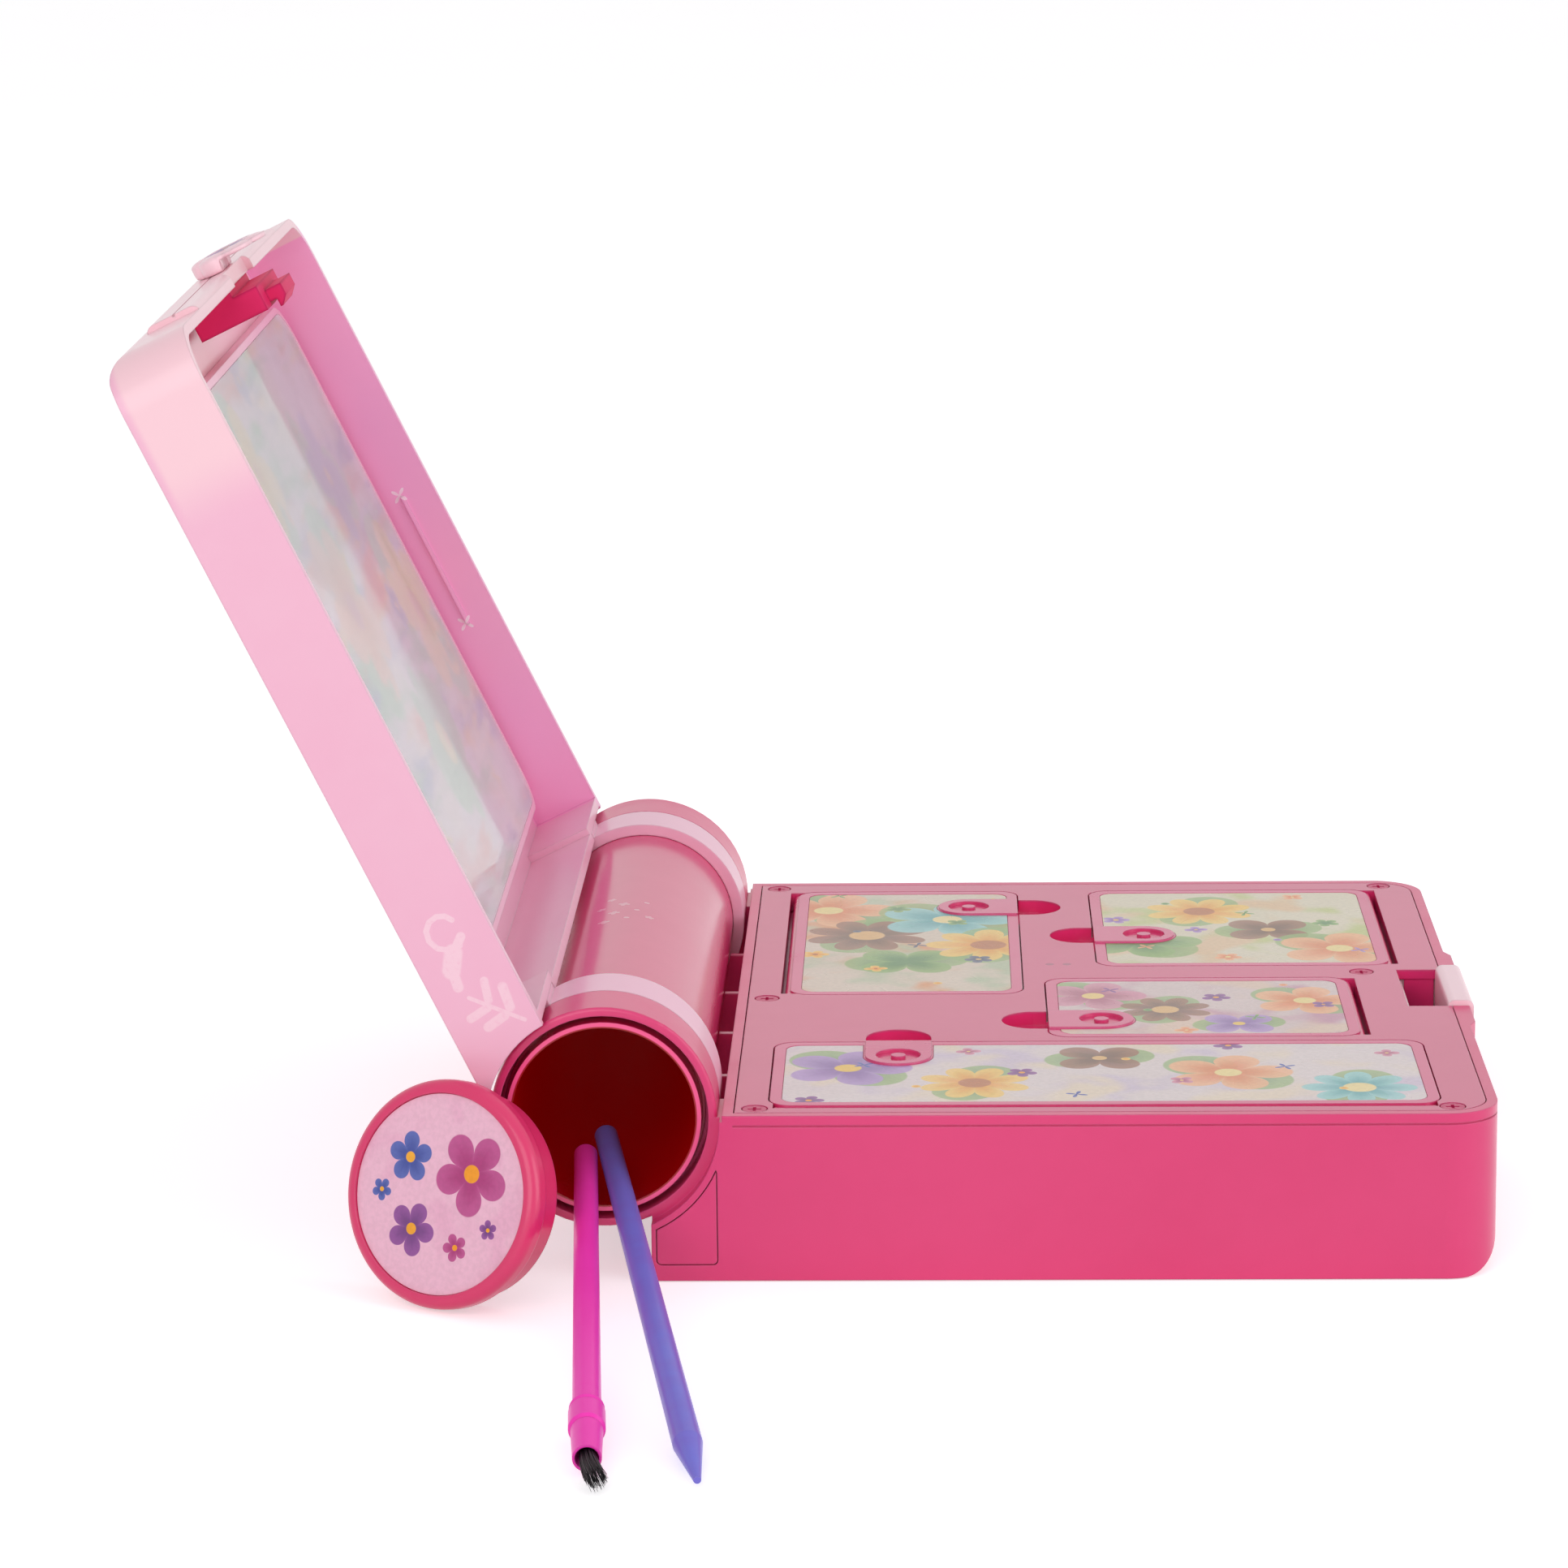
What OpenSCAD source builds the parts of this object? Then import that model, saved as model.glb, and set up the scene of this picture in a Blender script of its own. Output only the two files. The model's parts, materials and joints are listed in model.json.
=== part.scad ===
// Hinged carry case with a storage tube for a spine.
// Millimetres. X runs from the spine to the free end, Y along the spine, Z up.
// The origin is the centre of the tray's underside.

/* [Case] */
// Depth of the case along its spine
case_d = 218; // [206:1:232]
// Length of the tray from its spine wall to its free end
tray_l = 172; // [166:1:184]
// Height of the tray
tray_h = 38; // [36:1:44]
// Height of the lid
lid_h = 19.5; // [19:0.5:24]
// Thickness of the tray walls
wall = 2.4; // [2:0.1:2.8]
// Thickness of the lid walls
lid_wall = 2.4; // [2:0.1:2.8]
// Corner radius at the free end, seen from above
corner_r = 12; // [10:1:14]
// Rounding of the tray's long edge at the free end
edge_r = 8; // [5:0.5:10]
// Rounding of the lid's long edge at the free end
lid_edge_r = 5; // [4:0.5:8]
// Angle of the open lid from closed
lid_open = 116; // [105:1:120]
// Distance that the lid's free end stands back from the tray's
lid_set_back = 1; // [0.5:0.25:2.5]
// Gap between the closed lid and the tray
seam_gap = 0.3; // [0.2:0.1:0.5]

/* [Spine] */
// Radius of the bore that holds the tools
bore_r = 20.4; // [19:0.1:22]
// Wall of the storage tube
tube_wall = 2; // [1.8:0.1:2.6]
// Wall of the rings around the tube
ring_wall = 2.8; // [2.6:0.1:3.2]
// Width of each ring along the tube
ring_w = 15; // [14:0.5:17]
// Distance that the tube stands back from the sides of the case
tube_recess = 4; // [3:0.5:6]
// Gap between the rings and the tray's spine wall
spine_gap = 1.2; // [0.8:0.1:2]
// Depth of the hinge axis under the top of the tray
hinge_drop = 1.4; // [0.8:0.1:2]
// Length of the tray's brackets past its spine wall
bracket_l = 16; // [12:1:20]
// Gap between a tray ring and a lid ring
ring_gap = 0.35; // [0.2:0.05:0.6]
// Radial clearance of the lid rings on the tube
ring_clear = 0.08; // [0.05:0.01:0.1]
// Thickness of the plug in the tube's back end
plug_t = 3.5; // [2.5:0.5:5]

/* [Deck] */
// Thickness of the deck plate
deck_t = 2.4; // [2:0.1:2.8]
// Depth of the frames under the flaps, from the top of the deck
frame_h = 4.8; // [4.4:0.1:5.6]
// Gap between the deck and the tray walls
deck_gap = 0.25; // [0.2:0.05:0.4]
// Radius of the screw heads' recesses
screw_recess_r = 3; // [2.8:0.1:3.1]
// Radius of the screw heads
screw_head_r = 2.7; // [2.4:0.1:2.7]
// Radius of the screw shanks
screw_r = 1.2; // [1:0.1:1.3]
// Radius of the screw bosses
boss_r = 3; // [2.6:0.1:3]

/* [Flaps] */
// Thickness of the flaps
flap_t = 2.4; // [2.2:0.1:2.8]
// Corner radius of the flaps
flap_r = 5; // [4:0.5:6]
// Gap around the flaps
flap_gap = 0.35; // [0.25:0.05:0.5]
// Width of the slot behind a flap's hinge
slot_w = 2.2; // [2.1:0.1:2.6]
// Depth of the hinge axis under the top of the deck
peg_drop = 1.8; // [1.7:0.1:1.9]
// Radius of the hinge pegs
peg_r = 0.9; // [0.8:0.05:0.9]
// Length of the flap at the back left, across the case
back_left_l = 55.8; // [50:0.1:60]
// Width of the flap at the front, across its hinge
front_w = 53; // [48:0.5:56]
// Width of the middle flap along the case
middle_w = 53.5; // [48:0.5:56]
// Thickness of the printed labels
label_t = 0.25; // [0.2:0.05:0.4]
// Width of the plain frame around the labels
label_frame = 2.6; // [2:0.1:3.5]

/* [Compartments] */
// Wall of the compartment trays
well_wall = 1.4; // [1.2:0.1:1.8]
// Height of the trays' undersides over the case's underside
well_z = 6; // [5:0.5:10]

/* [Latch] */
// Length of the latch pocket across the case
pocket_l = 9.2; // [9.2:0.1:10]
// Width of the latch pocket along the case
pocket_w = 34; // [30:0.5:36]
// Travel of the release button
button_travel = 1.6; // [1.5:0.1:1.8]
// Height of the button's underside over the case's underside
button_z = 12; // [10:0.5:16]
// Distance that the button stands out of the end wall
button_out = 2.6; // [2.2:0.1:3.2]
// Radius of the clasp's flower head
clasp_r = 9.75; // [9:0.25:12]
// Thickness of the clasp's flower head
clasp_t = 4.2; // [3.5:0.1:6]
// Distance that the band on the lid's end stands out
band_out = 1.4; // [1:0.1:5.4]

/* [Picture panel] */
// Thickness of the panel, from its face to the lid's inside
panel_t = 3.5; // [3.2:0.1:4.5]
// Thickness of the picture card
card_t = 0.5; // [0.4:0.1:0.8]
// Thickness of the clear sheet
window_t = 0.5; // [0.4:0.1:0.8]

/* [Cap] */
// Radius of the tube cap
cap_r = 25.2; // [25:0.1:26]
// Thickness of the tube cap
cap_t = 5; // [4.5:0.25:6]
// Rounding of the cap's front edge
cap_round = 2.4; // [1.4:0.1:2.8]
// Length of the cap's skirt
skirt_l = 7; // [6.5:0.5:12]
// Wall of the cap's skirt
skirt_wall = 1.2; // [1:0.05:1.2]
// Radius of the cap's printed label
cap_label_r = 22; // [20:0.5:22.5]
// Gap between the standing cap's rim and the line of the hinge
cap_gap = 7.5; // [7.5:0.5:20]
// Place of the standing cap in front of the case's side
cap_out = 13; // [13:0.5:30]
// Angle that the cap's face is turned to the left
cap_turn = 30; // [0:1:34]

/* [Tools] */
// Length of the brush from its bristle tip
brush_l = 165; // [150:1:168]
// Radius of the brush's handle
brush_r = 3; // [2.5:0.05:3.2]
// Length of the stylus
stylus_l = 172; // [150:1:176]
// Radius of the stylus
stylus_r = 3.1; // [2.7:0.05:3.4]
// Distance from the case's side to the tool tips
tool_reach = 139; // [128:1:142]

/* [Hidden] */
$fn = 64;
// A small overlap that joins solids of one piece
join = 0.01;

// Spine, seen along Y
tube_r = bore_r + tube_wall;
ring_r = tube_r + ring_wall;
groove_r = ring_r - 1.9;
skirt_r = groove_r - 0.2;
lip_r = skirt_r - skirt_wall - 0.2;
hinge_x = -tray_l / 2 - spine_gap - ring_r;
hinge_z = tray_h - hinge_drop;
tube_end = case_d / 2 - tube_recess;
ring_round = 0.8;
tray_ring_in = tube_end - ring_w;
lid_ring_out = tray_ring_in - ring_gap;
lid_ring_in = lid_ring_out - ring_w;
groove_l = skirt_l + 0.5;

// Stop that ends the lid's swing, a lug in a curved slot
stop_r = tube_r + ring_wall / 2;
stop_w = 0.8;
stop_depth = 1.1;
stop_sweep = 8;
stop_slack = 0.5;
stop_at = -20;

// Tray and deck outlines, seen from above
end_x = tray_l / 2;
side_y = case_d / 2;
inner_r = corner_r - wall;
deck_x0 = -end_x + wall + deck_gap;
deck_x1 = end_x - wall - deck_gap;
deck_y = side_y - wall - deck_gap;
deck_z = tray_h - deck_t;
frame_z = tray_h - frame_h;
rim_groove = 0.35;
rim_band = 2.6;
swell_out = 1.5;
swell_y = 31;
swell_fade = 6;

// Brackets, their covers and the ribs between them
ring_room = 0.6;
cover_deep = 1.2;
cover_z0 = 3.6;
cover_z1 = 26;
cover_round = 1.2;
rib_l = 12;
rib_t = 2;
rib_z0 = 5;
rib_z1 = hinge_z - 4;
rib_fit = 0.05;

// Reach of the release button's arms past the latch pocket
arm_out = 3.2;

// Flap layout, worked out from the deck's edges
ledge = 1.8;
frame_wall = 1;
flap_rest = 0.2;
peg_out = 0.3;
// The slot ends where the flap's rounded corners clear its edge
swing_x = peg_drop + 0.4;
slot_end = flap_r - sqrt(pow(flap_r, 2) - pow(flap_r - swing_x, 2));
barrel_r = 1.3;
well_out = 0.6;
back_edge = 7.3;
front_edge = 5.85;
left_edge = 9.75;
front_left_edge = 7.55;
right_edge = 11.5;
front_right_edge = 10;
front_to_middle = 4;
front_to_back = 43.5;
middle_to_back = 12;
left_to_right = 18.6;
left_to_middle = 5.6;
arm_room = 1.8;
middle_to_pocket = 12.9;
back_y = deck_y - back_edge;
front_y = -deck_y + front_edge;
front_y1 = front_y + front_w;
middle_y = front_y1 + front_to_middle;
middle_y1 = middle_y + middle_w;
back_left_x = deck_x0 + left_edge;
back_left_x1 = back_left_x + back_left_l;
back_left_y = front_y1 + front_to_back;
back_right_x = back_left_x1 + left_to_right;
back_right_x1 = deck_x1 - right_edge;
back_right_y = max(middle_y1 + middle_to_back, pocket_w / 2 + arm_out + arm_room);
middle_x = back_left_x1 + left_to_middle;
front_x = deck_x0 + front_left_edge;
front_x1 = deck_x1 - front_right_edge;

// Latch, seen from the side: pocket in the deck, button behind it
pocket_x1 = end_x - 3.8;
pocket_x0 = pocket_x1 - pocket_l;
middle_x1 = pocket_x0 - middle_to_pocket;
button_w = pocket_w - 0.8;
button_x = pocket_x1 + 0.2;
button_x1 = end_x + button_out;
button_top = tray_h + 1.3;
button_gap = 0.3;
flange_t = 1.2;
flange_x = end_x - wall - 0.15 - flange_t;
flange_y = pocket_w / 2 + arm_out;
flange_low = tray_h - 12.5;
arm_t = 1.9;
arm_h = 6;
bar_top = deck_z - 0.3;
bar_h = 2.4;
bar_x0 = pocket_x0 - 3.5;
bar_x1 = pocket_x0 + 1.2;
hook_x0 = bar_x1 + 0.15;
hook_x1 = button_x - button_travel - 0.35;
hook_t = hook_x1 - hook_x0;
hook_w = pocket_w - 1.4;
skirt_x0 = pocket_x0 + 2;
skirt_y = pocket_w / 2 + 0.2;
skirt_t = 0.8;
skirt_h = 12;
spring_z = 18;
spring_r = 2.8;
spring_wire = 0.4;
spring_x = button_x - 12.2;
post_w = 10;
post_t = 2;
pin_l = 4;

// Each flap: hinge corner, length from its hinge, width along its hinge,
// hinge side and the pull's place along the free edge
back_left_pull = 17.2;
back_right_pull = 30.6;
middle_pull = 15;
front_pull = 28.5;
back_left_w = back_y - back_left_y;
back_right_w = back_y - back_right_y;
front_l = front_x1 - front_x;
BACK_LEFT = [back_left_x, back_left_y, back_left_l, back_left_w, "left", back_left_w - back_left_pull];
BACK_RIGHT = [back_right_x1, back_right_y, back_right_x1 - back_right_x, back_right_w, "right", back_right_pull];
MIDDLE = [middle_x1, middle_y, middle_x1 - middle_x, middle_w, "right", middle_pull];
FRONT = [front_x1, front_y, front_w, front_l, "front", front_l - front_pull];
FLAPS = [BACK_LEFT, BACK_RIGHT, MIDDLE, FRONT];
pull_r = 7.6;
pull_out = 11;
pull_in = 20;
pull_depth = 3.4;
pull_lift = 0.4;

// Screws: the four corners and the two in the middle of the deck
screw_low = 0.8;
neck_r = 2.2;
neck_h = 0.6;
screw_pilot = screw_r + 0.05;
screw_in = max(0, corner_r - 12) / 2;
screw_l = 12;
screw_left = 4.4;
screw_right = 7.8;
screw_side = 3.4;
screw_x1 = deck_x1 - screw_right - screw_in;
screw_y1 = deck_y - screw_side - screw_in / 2;
SCREWS = [
    [deck_x0 + screw_left, deck_y - screw_side], [screw_x1, screw_y1],
    [deck_x0 + screw_left, -deck_y + screw_side], [screw_x1, -screw_y1],
    [deck_x0 + screw_left, back_left_y - screw_side], [middle_x1 + screw_left, middle_y1 + screw_side + 2]
];

// Lid, in its own frame: u from the hinge axis, w up from the tray's top
lid_l = end_x - hinge_x - lid_set_back;
lid_u = ring_r + spine_gap;
barrel_gap = 2.2;
lid_step_u = tube_r + barrel_gap;
lid_step_y = lid_ring_in - 1;
lid_cut_r = ring_r + 0.5;
lid_in_u = lid_u + lid_wall;
lid_in_w = lid_h - lid_wall;
band_y = 72;
band_root = 6;
band_top = lid_h - 6;
panel_depth = lid_in_w - 0.05 - panel_t;
panel_u0 = lid_u + 8.5;
panel_u1 = lid_l - 18;
panel_y = side_y - lid_wall - 2.2;
panel_r = 10;
panel_edge = 1.8;
rib_u = 84;
rib_w = 8.2;
rib_run = 37;
rib_out = 0.8;
line_w = 6;
bed_t = 1.2;
hook_u = (hook_x0 + hook_x1) / 2 - hinge_x;
hook_out = 3.8;
hook_step = button_top - tray_h + 1.1;
tongue_out = 8;
tongue_x0 = 0.9;
tongue_t = 3;
tongue_w = 18;
barb_h = 2.4;
barb_out = 2;
clasp_w = 1;
clasp_over = 1.2;
button_room = lid_set_back + button_out + 0.4;
petal_r = 4;
stem_w = clasp_w + 4;
stem_r = 1.7;
stem_u = hook_u + hook_t / 2 - 0.8;
clasp_u = lid_l + max(band_out, button_room + clasp_over - clasp_t) + 0.1;

// Standing cap: it rests on its rim and on the end of its skirt
cap_x = hinge_x - cap_r - cap_gap;
rim_round = 0.8;
cap_lean = atan((cap_r - skirt_r) / (skirt_l + rim_round));
cap_h = cap_r * cos(cap_lean) - rim_round * sin(cap_lean) + 0.05;
label_deep = 0.9;

// Tools: each rests on the bore's lower lip and on the floor
tip_y = -side_y - tool_reach;
lip_y = -tube_end;
lip_gap = 0.2;
brush_tip = [hinge_x + 4.5, tip_y, 2.3];
brush_lip = -4.2;
ferrule_z = 12;
collar_z = 24;
collar_l = 11;
stylus_tip = [hinge_x + 26.1, tip_y + 4.5, 1.8];
stylus_lip = 3.5;
stylus_point = 16;

function rest_z(dx, r) = hinge_z - sqrt(pow(bore_r - r - lip_gap, 2) - dx * dx);
function run(tip, dx) = [hinge_x + dx - tip.x, lip_y - tip.y];
function pitch(tip, dx, r) = atan((rest_z(dx, r) - tip.z) / norm(run(tip, dx)));
function turn(tip, dx) = atan2(run(tip, dx).x, run(tip, dx).y);

// ---- shared shapes ----

module round_rect(x0, x1, y0, y1, r) {
    translate([x0 + r, y0]) square([x1 - x0 - 2 * r, y1 - y0]);
    translate([x0, y0 + r]) square([x1 - x0, y1 - y0 - 2 * r]);
    for (x = [x0 + r, x1 - r], y = [y0 + r, y1 - r])
        translate([x, y]) circle(r);
}

// Outline with square corners at the spine and round ones at the free end
module case_outline(x0, x1, y, r) {
    translate([x0, -y]) square([x1 - x0 - r, 2 * y]);
    translate([x0, -y + r]) square([x1 - x0, 2 * (y - r)]);
    for (s = [-1, 1])
        translate([x1 - r, s * (y - r)]) circle(r);
}

// Side outline with one round corner at its far end, above or below
module end_profile(x0, x1, z0, z1, r, at_top) {
    translate([x0, z0]) square([x1 - x0 - r, z1 - z0]);
    translate([x0, at_top ? z0 : z0 + r]) square([x1 - x0, z1 - z0 - r]);
    translate([x1 - r, at_top ? z1 - r : z0 + r]) circle(r);
}

// Extrudes an outline in X and Z along Y, from y0 to y1
module along_y(y0, y1) {
    translate([0, y1, 0]) rotate([90, 0, 0]) linear_extrude(y1 - y0) children();
}

module y_cylinder(r, y0, y1) {
    translate([0, y1, 0]) rotate([90, 0, 0]) cylinder(r = r, h = y1 - y0);
}

module at_hinge() {
    translate([hinge_x, 0, hinge_z]) children();
}

module both_ends() {
    children();
    mirror([0, 1, 0]) children();
}

module place_lid() {
    at_hinge() rotate([0, -lid_open, 0]) translate([0, 0, hinge_drop]) children();
}

// The hinge axis in the lid's own frame
module lid_axis() {
    translate([0, 0, -hinge_drop]) children();
}

// Puts a flap's own frame on the deck: hinge axis at x = 0, top at z = 0
module place_flap(f) {
    translate([f[0], f[1], tray_h]) {
        if (f[4] == "left") children();
        if (f[4] == "right") mirror([1, 0, 0]) children();
        if (f[4] == "front") rotate([0, 0, 90]) children();
    }
}

module stop_arc(from, sweep, w, depth) {
    rotate([0, 0, from]) rotate_extrude(angle = sweep, $fn = 96)
        translate([stop_r - w / 2, 0]) square([w, depth]);
}

// ---- tray ----

module tray_outer() {
    intersection() {
        linear_extrude(tray_h) case_outline(-end_x, end_x, side_y, corner_r);
        along_y(-side_y, side_y) end_profile(-end_x, end_x, 0, tray_h, edge_r, false);
    }
    // swelling of the end wall around the button
    translate([0, 0, edge_r]) linear_extrude(tray_h - edge_r)
        polygon([
            [end_x - 1, -swell_y - swell_fade], [end_x + swell_out, -swell_y],
            [end_x + swell_out, swell_y], [end_x - 1, swell_y + swell_fade]
        ]);
}

module tray_inner() {
    intersection() {
        translate([0, 0, wall]) linear_extrude(tray_h)
            case_outline(-end_x + wall, end_x - wall, side_y - wall, inner_r);
        along_y(-side_y, side_y)
            end_profile(-end_x + wall, end_x - wall, wall, 2 * tray_h, edge_r - wall + 0.5, false);
    }
}

// Shadow line under the rim, round the three outer sides
module rim_line() {
    translate([0, 0, tray_h - rim_band]) linear_extrude(rim_groove) difference() {
        translate([-end_x, -side_y - 1]) square([tray_l + 5, case_d + 2]);
        case_outline(-end_x - 1, end_x - rim_groove, side_y - rim_groove, corner_r - rim_groove);
        translate([end_x - 3, -swell_y - swell_fade - 2]) square([10, 2 * (swell_y + swell_fade + 2)]);
    }
}

module bracket() {
    difference() {
        translate([-end_x - bracket_l, tray_ring_in, 0])
            cube([bracket_l + wall, side_y - tray_ring_in, hinge_z]);
        at_hinge() y_cylinder(ring_r + ring_room, tube_end, side_y + 1);
        at_hinge() y_cylinder(ring_r - 1, tray_ring_in - 1, side_y + 1);
        cover_recess();
        // hollow under the bracket
        difference() {
            translate([-end_x - bracket_l + wall, tray_ring_in + wall, -1])
                cube([bracket_l - wall, side_y - tray_ring_in - 2 * wall - cover_deep, hinge_z]);
            at_hinge() y_cylinder(ring_r + wall, tray_ring_in, side_y);
        }
    }
}

module tray_ring() {
    at_hinge() difference() {
        union() {
            y_cylinder(ring_r, tray_ring_in, tube_end - ring_round);
            y_cylinder(ring_r - ring_round, tray_ring_in, tube_end);
            translate([0, tube_end - ring_round, 0]) rotate([90, 0, 0]) rotate_extrude()
                translate([ring_r - ring_round, 0]) circle(ring_round);
            translate([0, tray_ring_in + join, 0]) rotate([90, 0, 0])
                stop_arc(stop_at - stop_sweep / 2, stop_sweep, stop_w, stop_depth + join);
        }
        y_cylinder(tube_r + 0.05, tray_ring_in - 5, tube_end + 1);
        y_cylinder(groove_r, tube_end - groove_l, tube_end + 1);
    }
}

// Outline of a bracket's cover, drawn in by a margin
module cover_outline(margin) {
    difference() {
        round_rect(-end_x - bracket_l + 1 + margin, -end_x - 1.2 - margin,
            cover_z0 + margin, cover_z1 - margin, cover_round - margin);
        translate([hinge_x, hinge_z]) circle(ring_r + 2 + margin);
    }
}

module cover_recess() {
    along_y(side_y - cover_deep, side_y + 1) cover_outline(0);
}

// Rib that carries the barrel of the tube on the spine wall
module cradle_rib(y) {
    difference() {
        translate([-end_x - rib_l, y - rib_t / 2, rib_z0]) cube([rib_l - rib_fit, rib_t, rib_z1 - rib_z0]);
        at_hinge() y_cylinder(tube_r + 0.3, y - rib_t, y + rib_t);
    }
}

module tray_shell() color("#e44a86") {
    difference() {
        union() {
            difference() {
                tray_outer();
                tray_inner();
                rim_line();
            }
            for (s = SCREWS)
                translate([s.x, s.y, 0]) {
                    translate([0, 0, wall - join]) cylinder(r = boss_r, h = deck_z - wall - neck_h);
                    translate([0, 0, wall]) cylinder(r = neck_r, h = deck_z - wall);
                }
            both_ends() bracket();
            // post that backs the button's spring
            translate([spring_x - post_t, -post_w / 2, wall - join])
                cube([post_t, post_w, spring_z + spring_r - wall]);
        }
        for (s = SCREWS)
            translate([s.x, s.y, tray_h - screw_low - screw_l - 0.4]) cylinder(r = screw_pilot, h = screw_l + 2);
        // opening in the end wall for the button
        translate([button_x - 0.5, -button_w / 2 - button_gap, button_z - button_gap])
            cube([20, button_w + 2 * button_gap, tray_h]);
    }
    both_ends() tray_ring();
}

module cradle_ribs() color("#d93f7b") {
    for (i = [-1.5 : 1.5])
        cradle_rib(i * lid_ring_in / 2);
}

module cradle_covers() color("#df4580") both_ends() {
    along_y(side_y - cover_deep + 0.05, side_y) cover_outline(0.25);
}

// ---- deck ----

// Frame under a flap, in the flap's own frame
module flap_frame(f) {
    translate([0, 0, -frame_h]) linear_extrude(frame_h)
        round_rect(-slot_w - frame_wall, f[2] + flap_gap + frame_wall,
            -flap_gap - frame_wall, f[3] + flap_gap + frame_wall, flap_r);
    translate([f[2] + pull_out - pull_r, f[5], -frame_h])
        cylinder(r = pull_r + 1, h = frame_h);
    translate([f[2], f[5] - pull_r - 1, -frame_h])
        cube([pull_out - pull_r, 2 * pull_r + 2, frame_h]);
}

// What a flap, its hinge and its finger pull take out of the deck
module flap_cuts(f) {
    translate([0, 0, -flap_t - flap_rest]) linear_extrude(flap_t + 1)
        round_rect(-flap_gap, f[2] + flap_gap, -flap_gap, f[3] + flap_gap, flap_r + flap_gap);
    translate([-slot_w, slot_end, -frame_h - 1])
        cube([2 * slot_w, f[3] - 2 * slot_end, frame_h + 2]);
    translate([0, 0, -frame_h - 1]) linear_extrude(frame_h)
        round_rect(ledge, f[2] - ledge, ledge, f[3] - ledge, flap_r - 1);
    translate([0, 0, -peg_drop])
        y_cylinder(peg_r + 0.08, -peg_out - 0.2, f[3] + peg_out + 0.2);
    translate([f[2] + pull_out - pull_r, f[5], -pull_depth])
        cylinder(r = pull_r, h = pull_depth + 1);
    translate([f[2] - 1, f[5] - pull_r, -pull_depth])
        cube([pull_out - pull_r + 1, 2 * pull_r, pull_depth + 1]);
}

module deck_outline() {
    difference() {
        case_outline(deck_x0, deck_x1, deck_y, inner_r - deck_gap);
        // notch for the button
        translate([button_x - 0.3, -button_w / 2 - button_gap])
            square([20, button_w + 2 * button_gap]);
    }
}

module deck_plate() color("#d9417d") {
    difference() {
        union() {
            translate([0, 0, deck_z]) linear_extrude(deck_t) deck_outline();
            for (f = FLAPS)
                place_flap(f) flap_frame(f);
            // walls of the latch pocket
            for (s = [-1, 1])
                translate([skirt_x0, s > 0 ? skirt_y : -skirt_y - skirt_t, tray_h - skirt_h])
                    cube([pocket_x1 - skirt_x0, skirt_t, skirt_h]);
        }
        for (f = FLAPS)
            place_flap(f) flap_cuts(f);
        translate([pocket_x0, -pocket_w / 2, deck_z - 1]) cube([pocket_l + 2, pocket_w, deck_t + 2]);
        for (s = SCREWS) {
            translate([s.x, s.y, frame_z - 2]) cylinder(r = boss_r + 0.3, h = frame_h - deck_t + 2);
            translate([s.x, s.y, deck_z - 1]) cylinder(r = screw_r + 0.2, h = deck_t + 2);
            translate([s.x, s.y, tray_h - screw_low - 0.02]) cylinder(r = screw_recess_r, h = 3);
        }
    }
}

module deck_screws() color("#a8326a") {
    for (s = SCREWS)
        translate([s.x, s.y, 0]) difference() {
            union() {
                translate([0, 0, tray_h - screw_low]) cylinder(r = screw_head_r, h = screw_low - 0.1);
                translate([0, 0, tray_h - screw_low - screw_l + 0.4]) cylinder(r = screw_r, h = screw_l - 0.4);
            }
            for (a = [0, 90])
                translate([0, 0, tray_h]) rotate([0, 0, a]) cube([3, 0.7, 1.2], center = true);
        }
}

// ---- compartments ----

// Outline of a compartment tray, drawn in by a margin
module well_outline(f, margin) {
    round_rect(-slot_w - well_out + margin, f[2] + flap_gap + well_out - margin,
        -flap_gap - well_out + margin, f[3] + flap_gap + well_out - margin, flap_r + 0.6 - margin);
}

module well(f) {
    h = frame_z - well_z;
    place_flap(f) translate([0, 0, -frame_h - h]) difference() {
        linear_extrude(h) well_outline(f, 0);
        translate([0, 0, well_wall]) linear_extrude(h) well_outline(f, well_wall);
    }
}

module well_back_left() color("#e7659a") well(BACK_LEFT);
module well_back_right() color("#e7659a") well(BACK_RIGHT);
module well_middle() color("#e7659a") well(MIDDLE);
module well_front() color("#e7659a") well(FRONT);

// ---- flaps ----

module tab_outline(f, grow) {
    translate([f[2] - pull_in + pull_r, f[5]]) circle(pull_r + grow);
    translate([f[2] - pull_in + pull_r, f[5] - pull_r - grow])
        square([pull_in - pull_r, 2 * (pull_r + grow)]);
}

module label_outline(f, shrink) {
    difference() {
        round_rect(label_frame + shrink, f[2] - label_frame - shrink,
            label_frame + shrink, f[3] - label_frame - shrink, flap_r - 1.5);
        tab_outline(f, 0.4 + shrink);
    }
}

module flap(f) color("#de4a84") place_flap(f) {
    difference() {
        union() {
            translate([0, 0, -flap_t]) linear_extrude(flap_t) round_rect(0, f[2], 0, f[3], flap_r);
            translate([0, 0, -peg_drop])
                y_cylinder(barrel_r, slot_end + 0.3, f[3] - slot_end - 0.3);
            translate([0, 0, -peg_drop]) y_cylinder(peg_r, -peg_out, f[3] + peg_out);
            // raised tab of the finger pull
            linear_extrude(pull_lift) intersection() {
                tab_outline(f, 0);
                square([f[2], f[3]]);
            }
        }
        translate([0, 0, -label_t - 0.05]) linear_extrude(1) label_outline(f, 0);
        // groove and dimple of the finger pull
        translate([f[2] - pull_in + pull_r, f[5], -0.4]) cylinder(r = pull_r - 2.4, h = 2);
    }
    translate([f[2] - pull_in + pull_r, f[5], -0.5]) cylinder(r = 1.7, h = 0.9);
}

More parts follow.
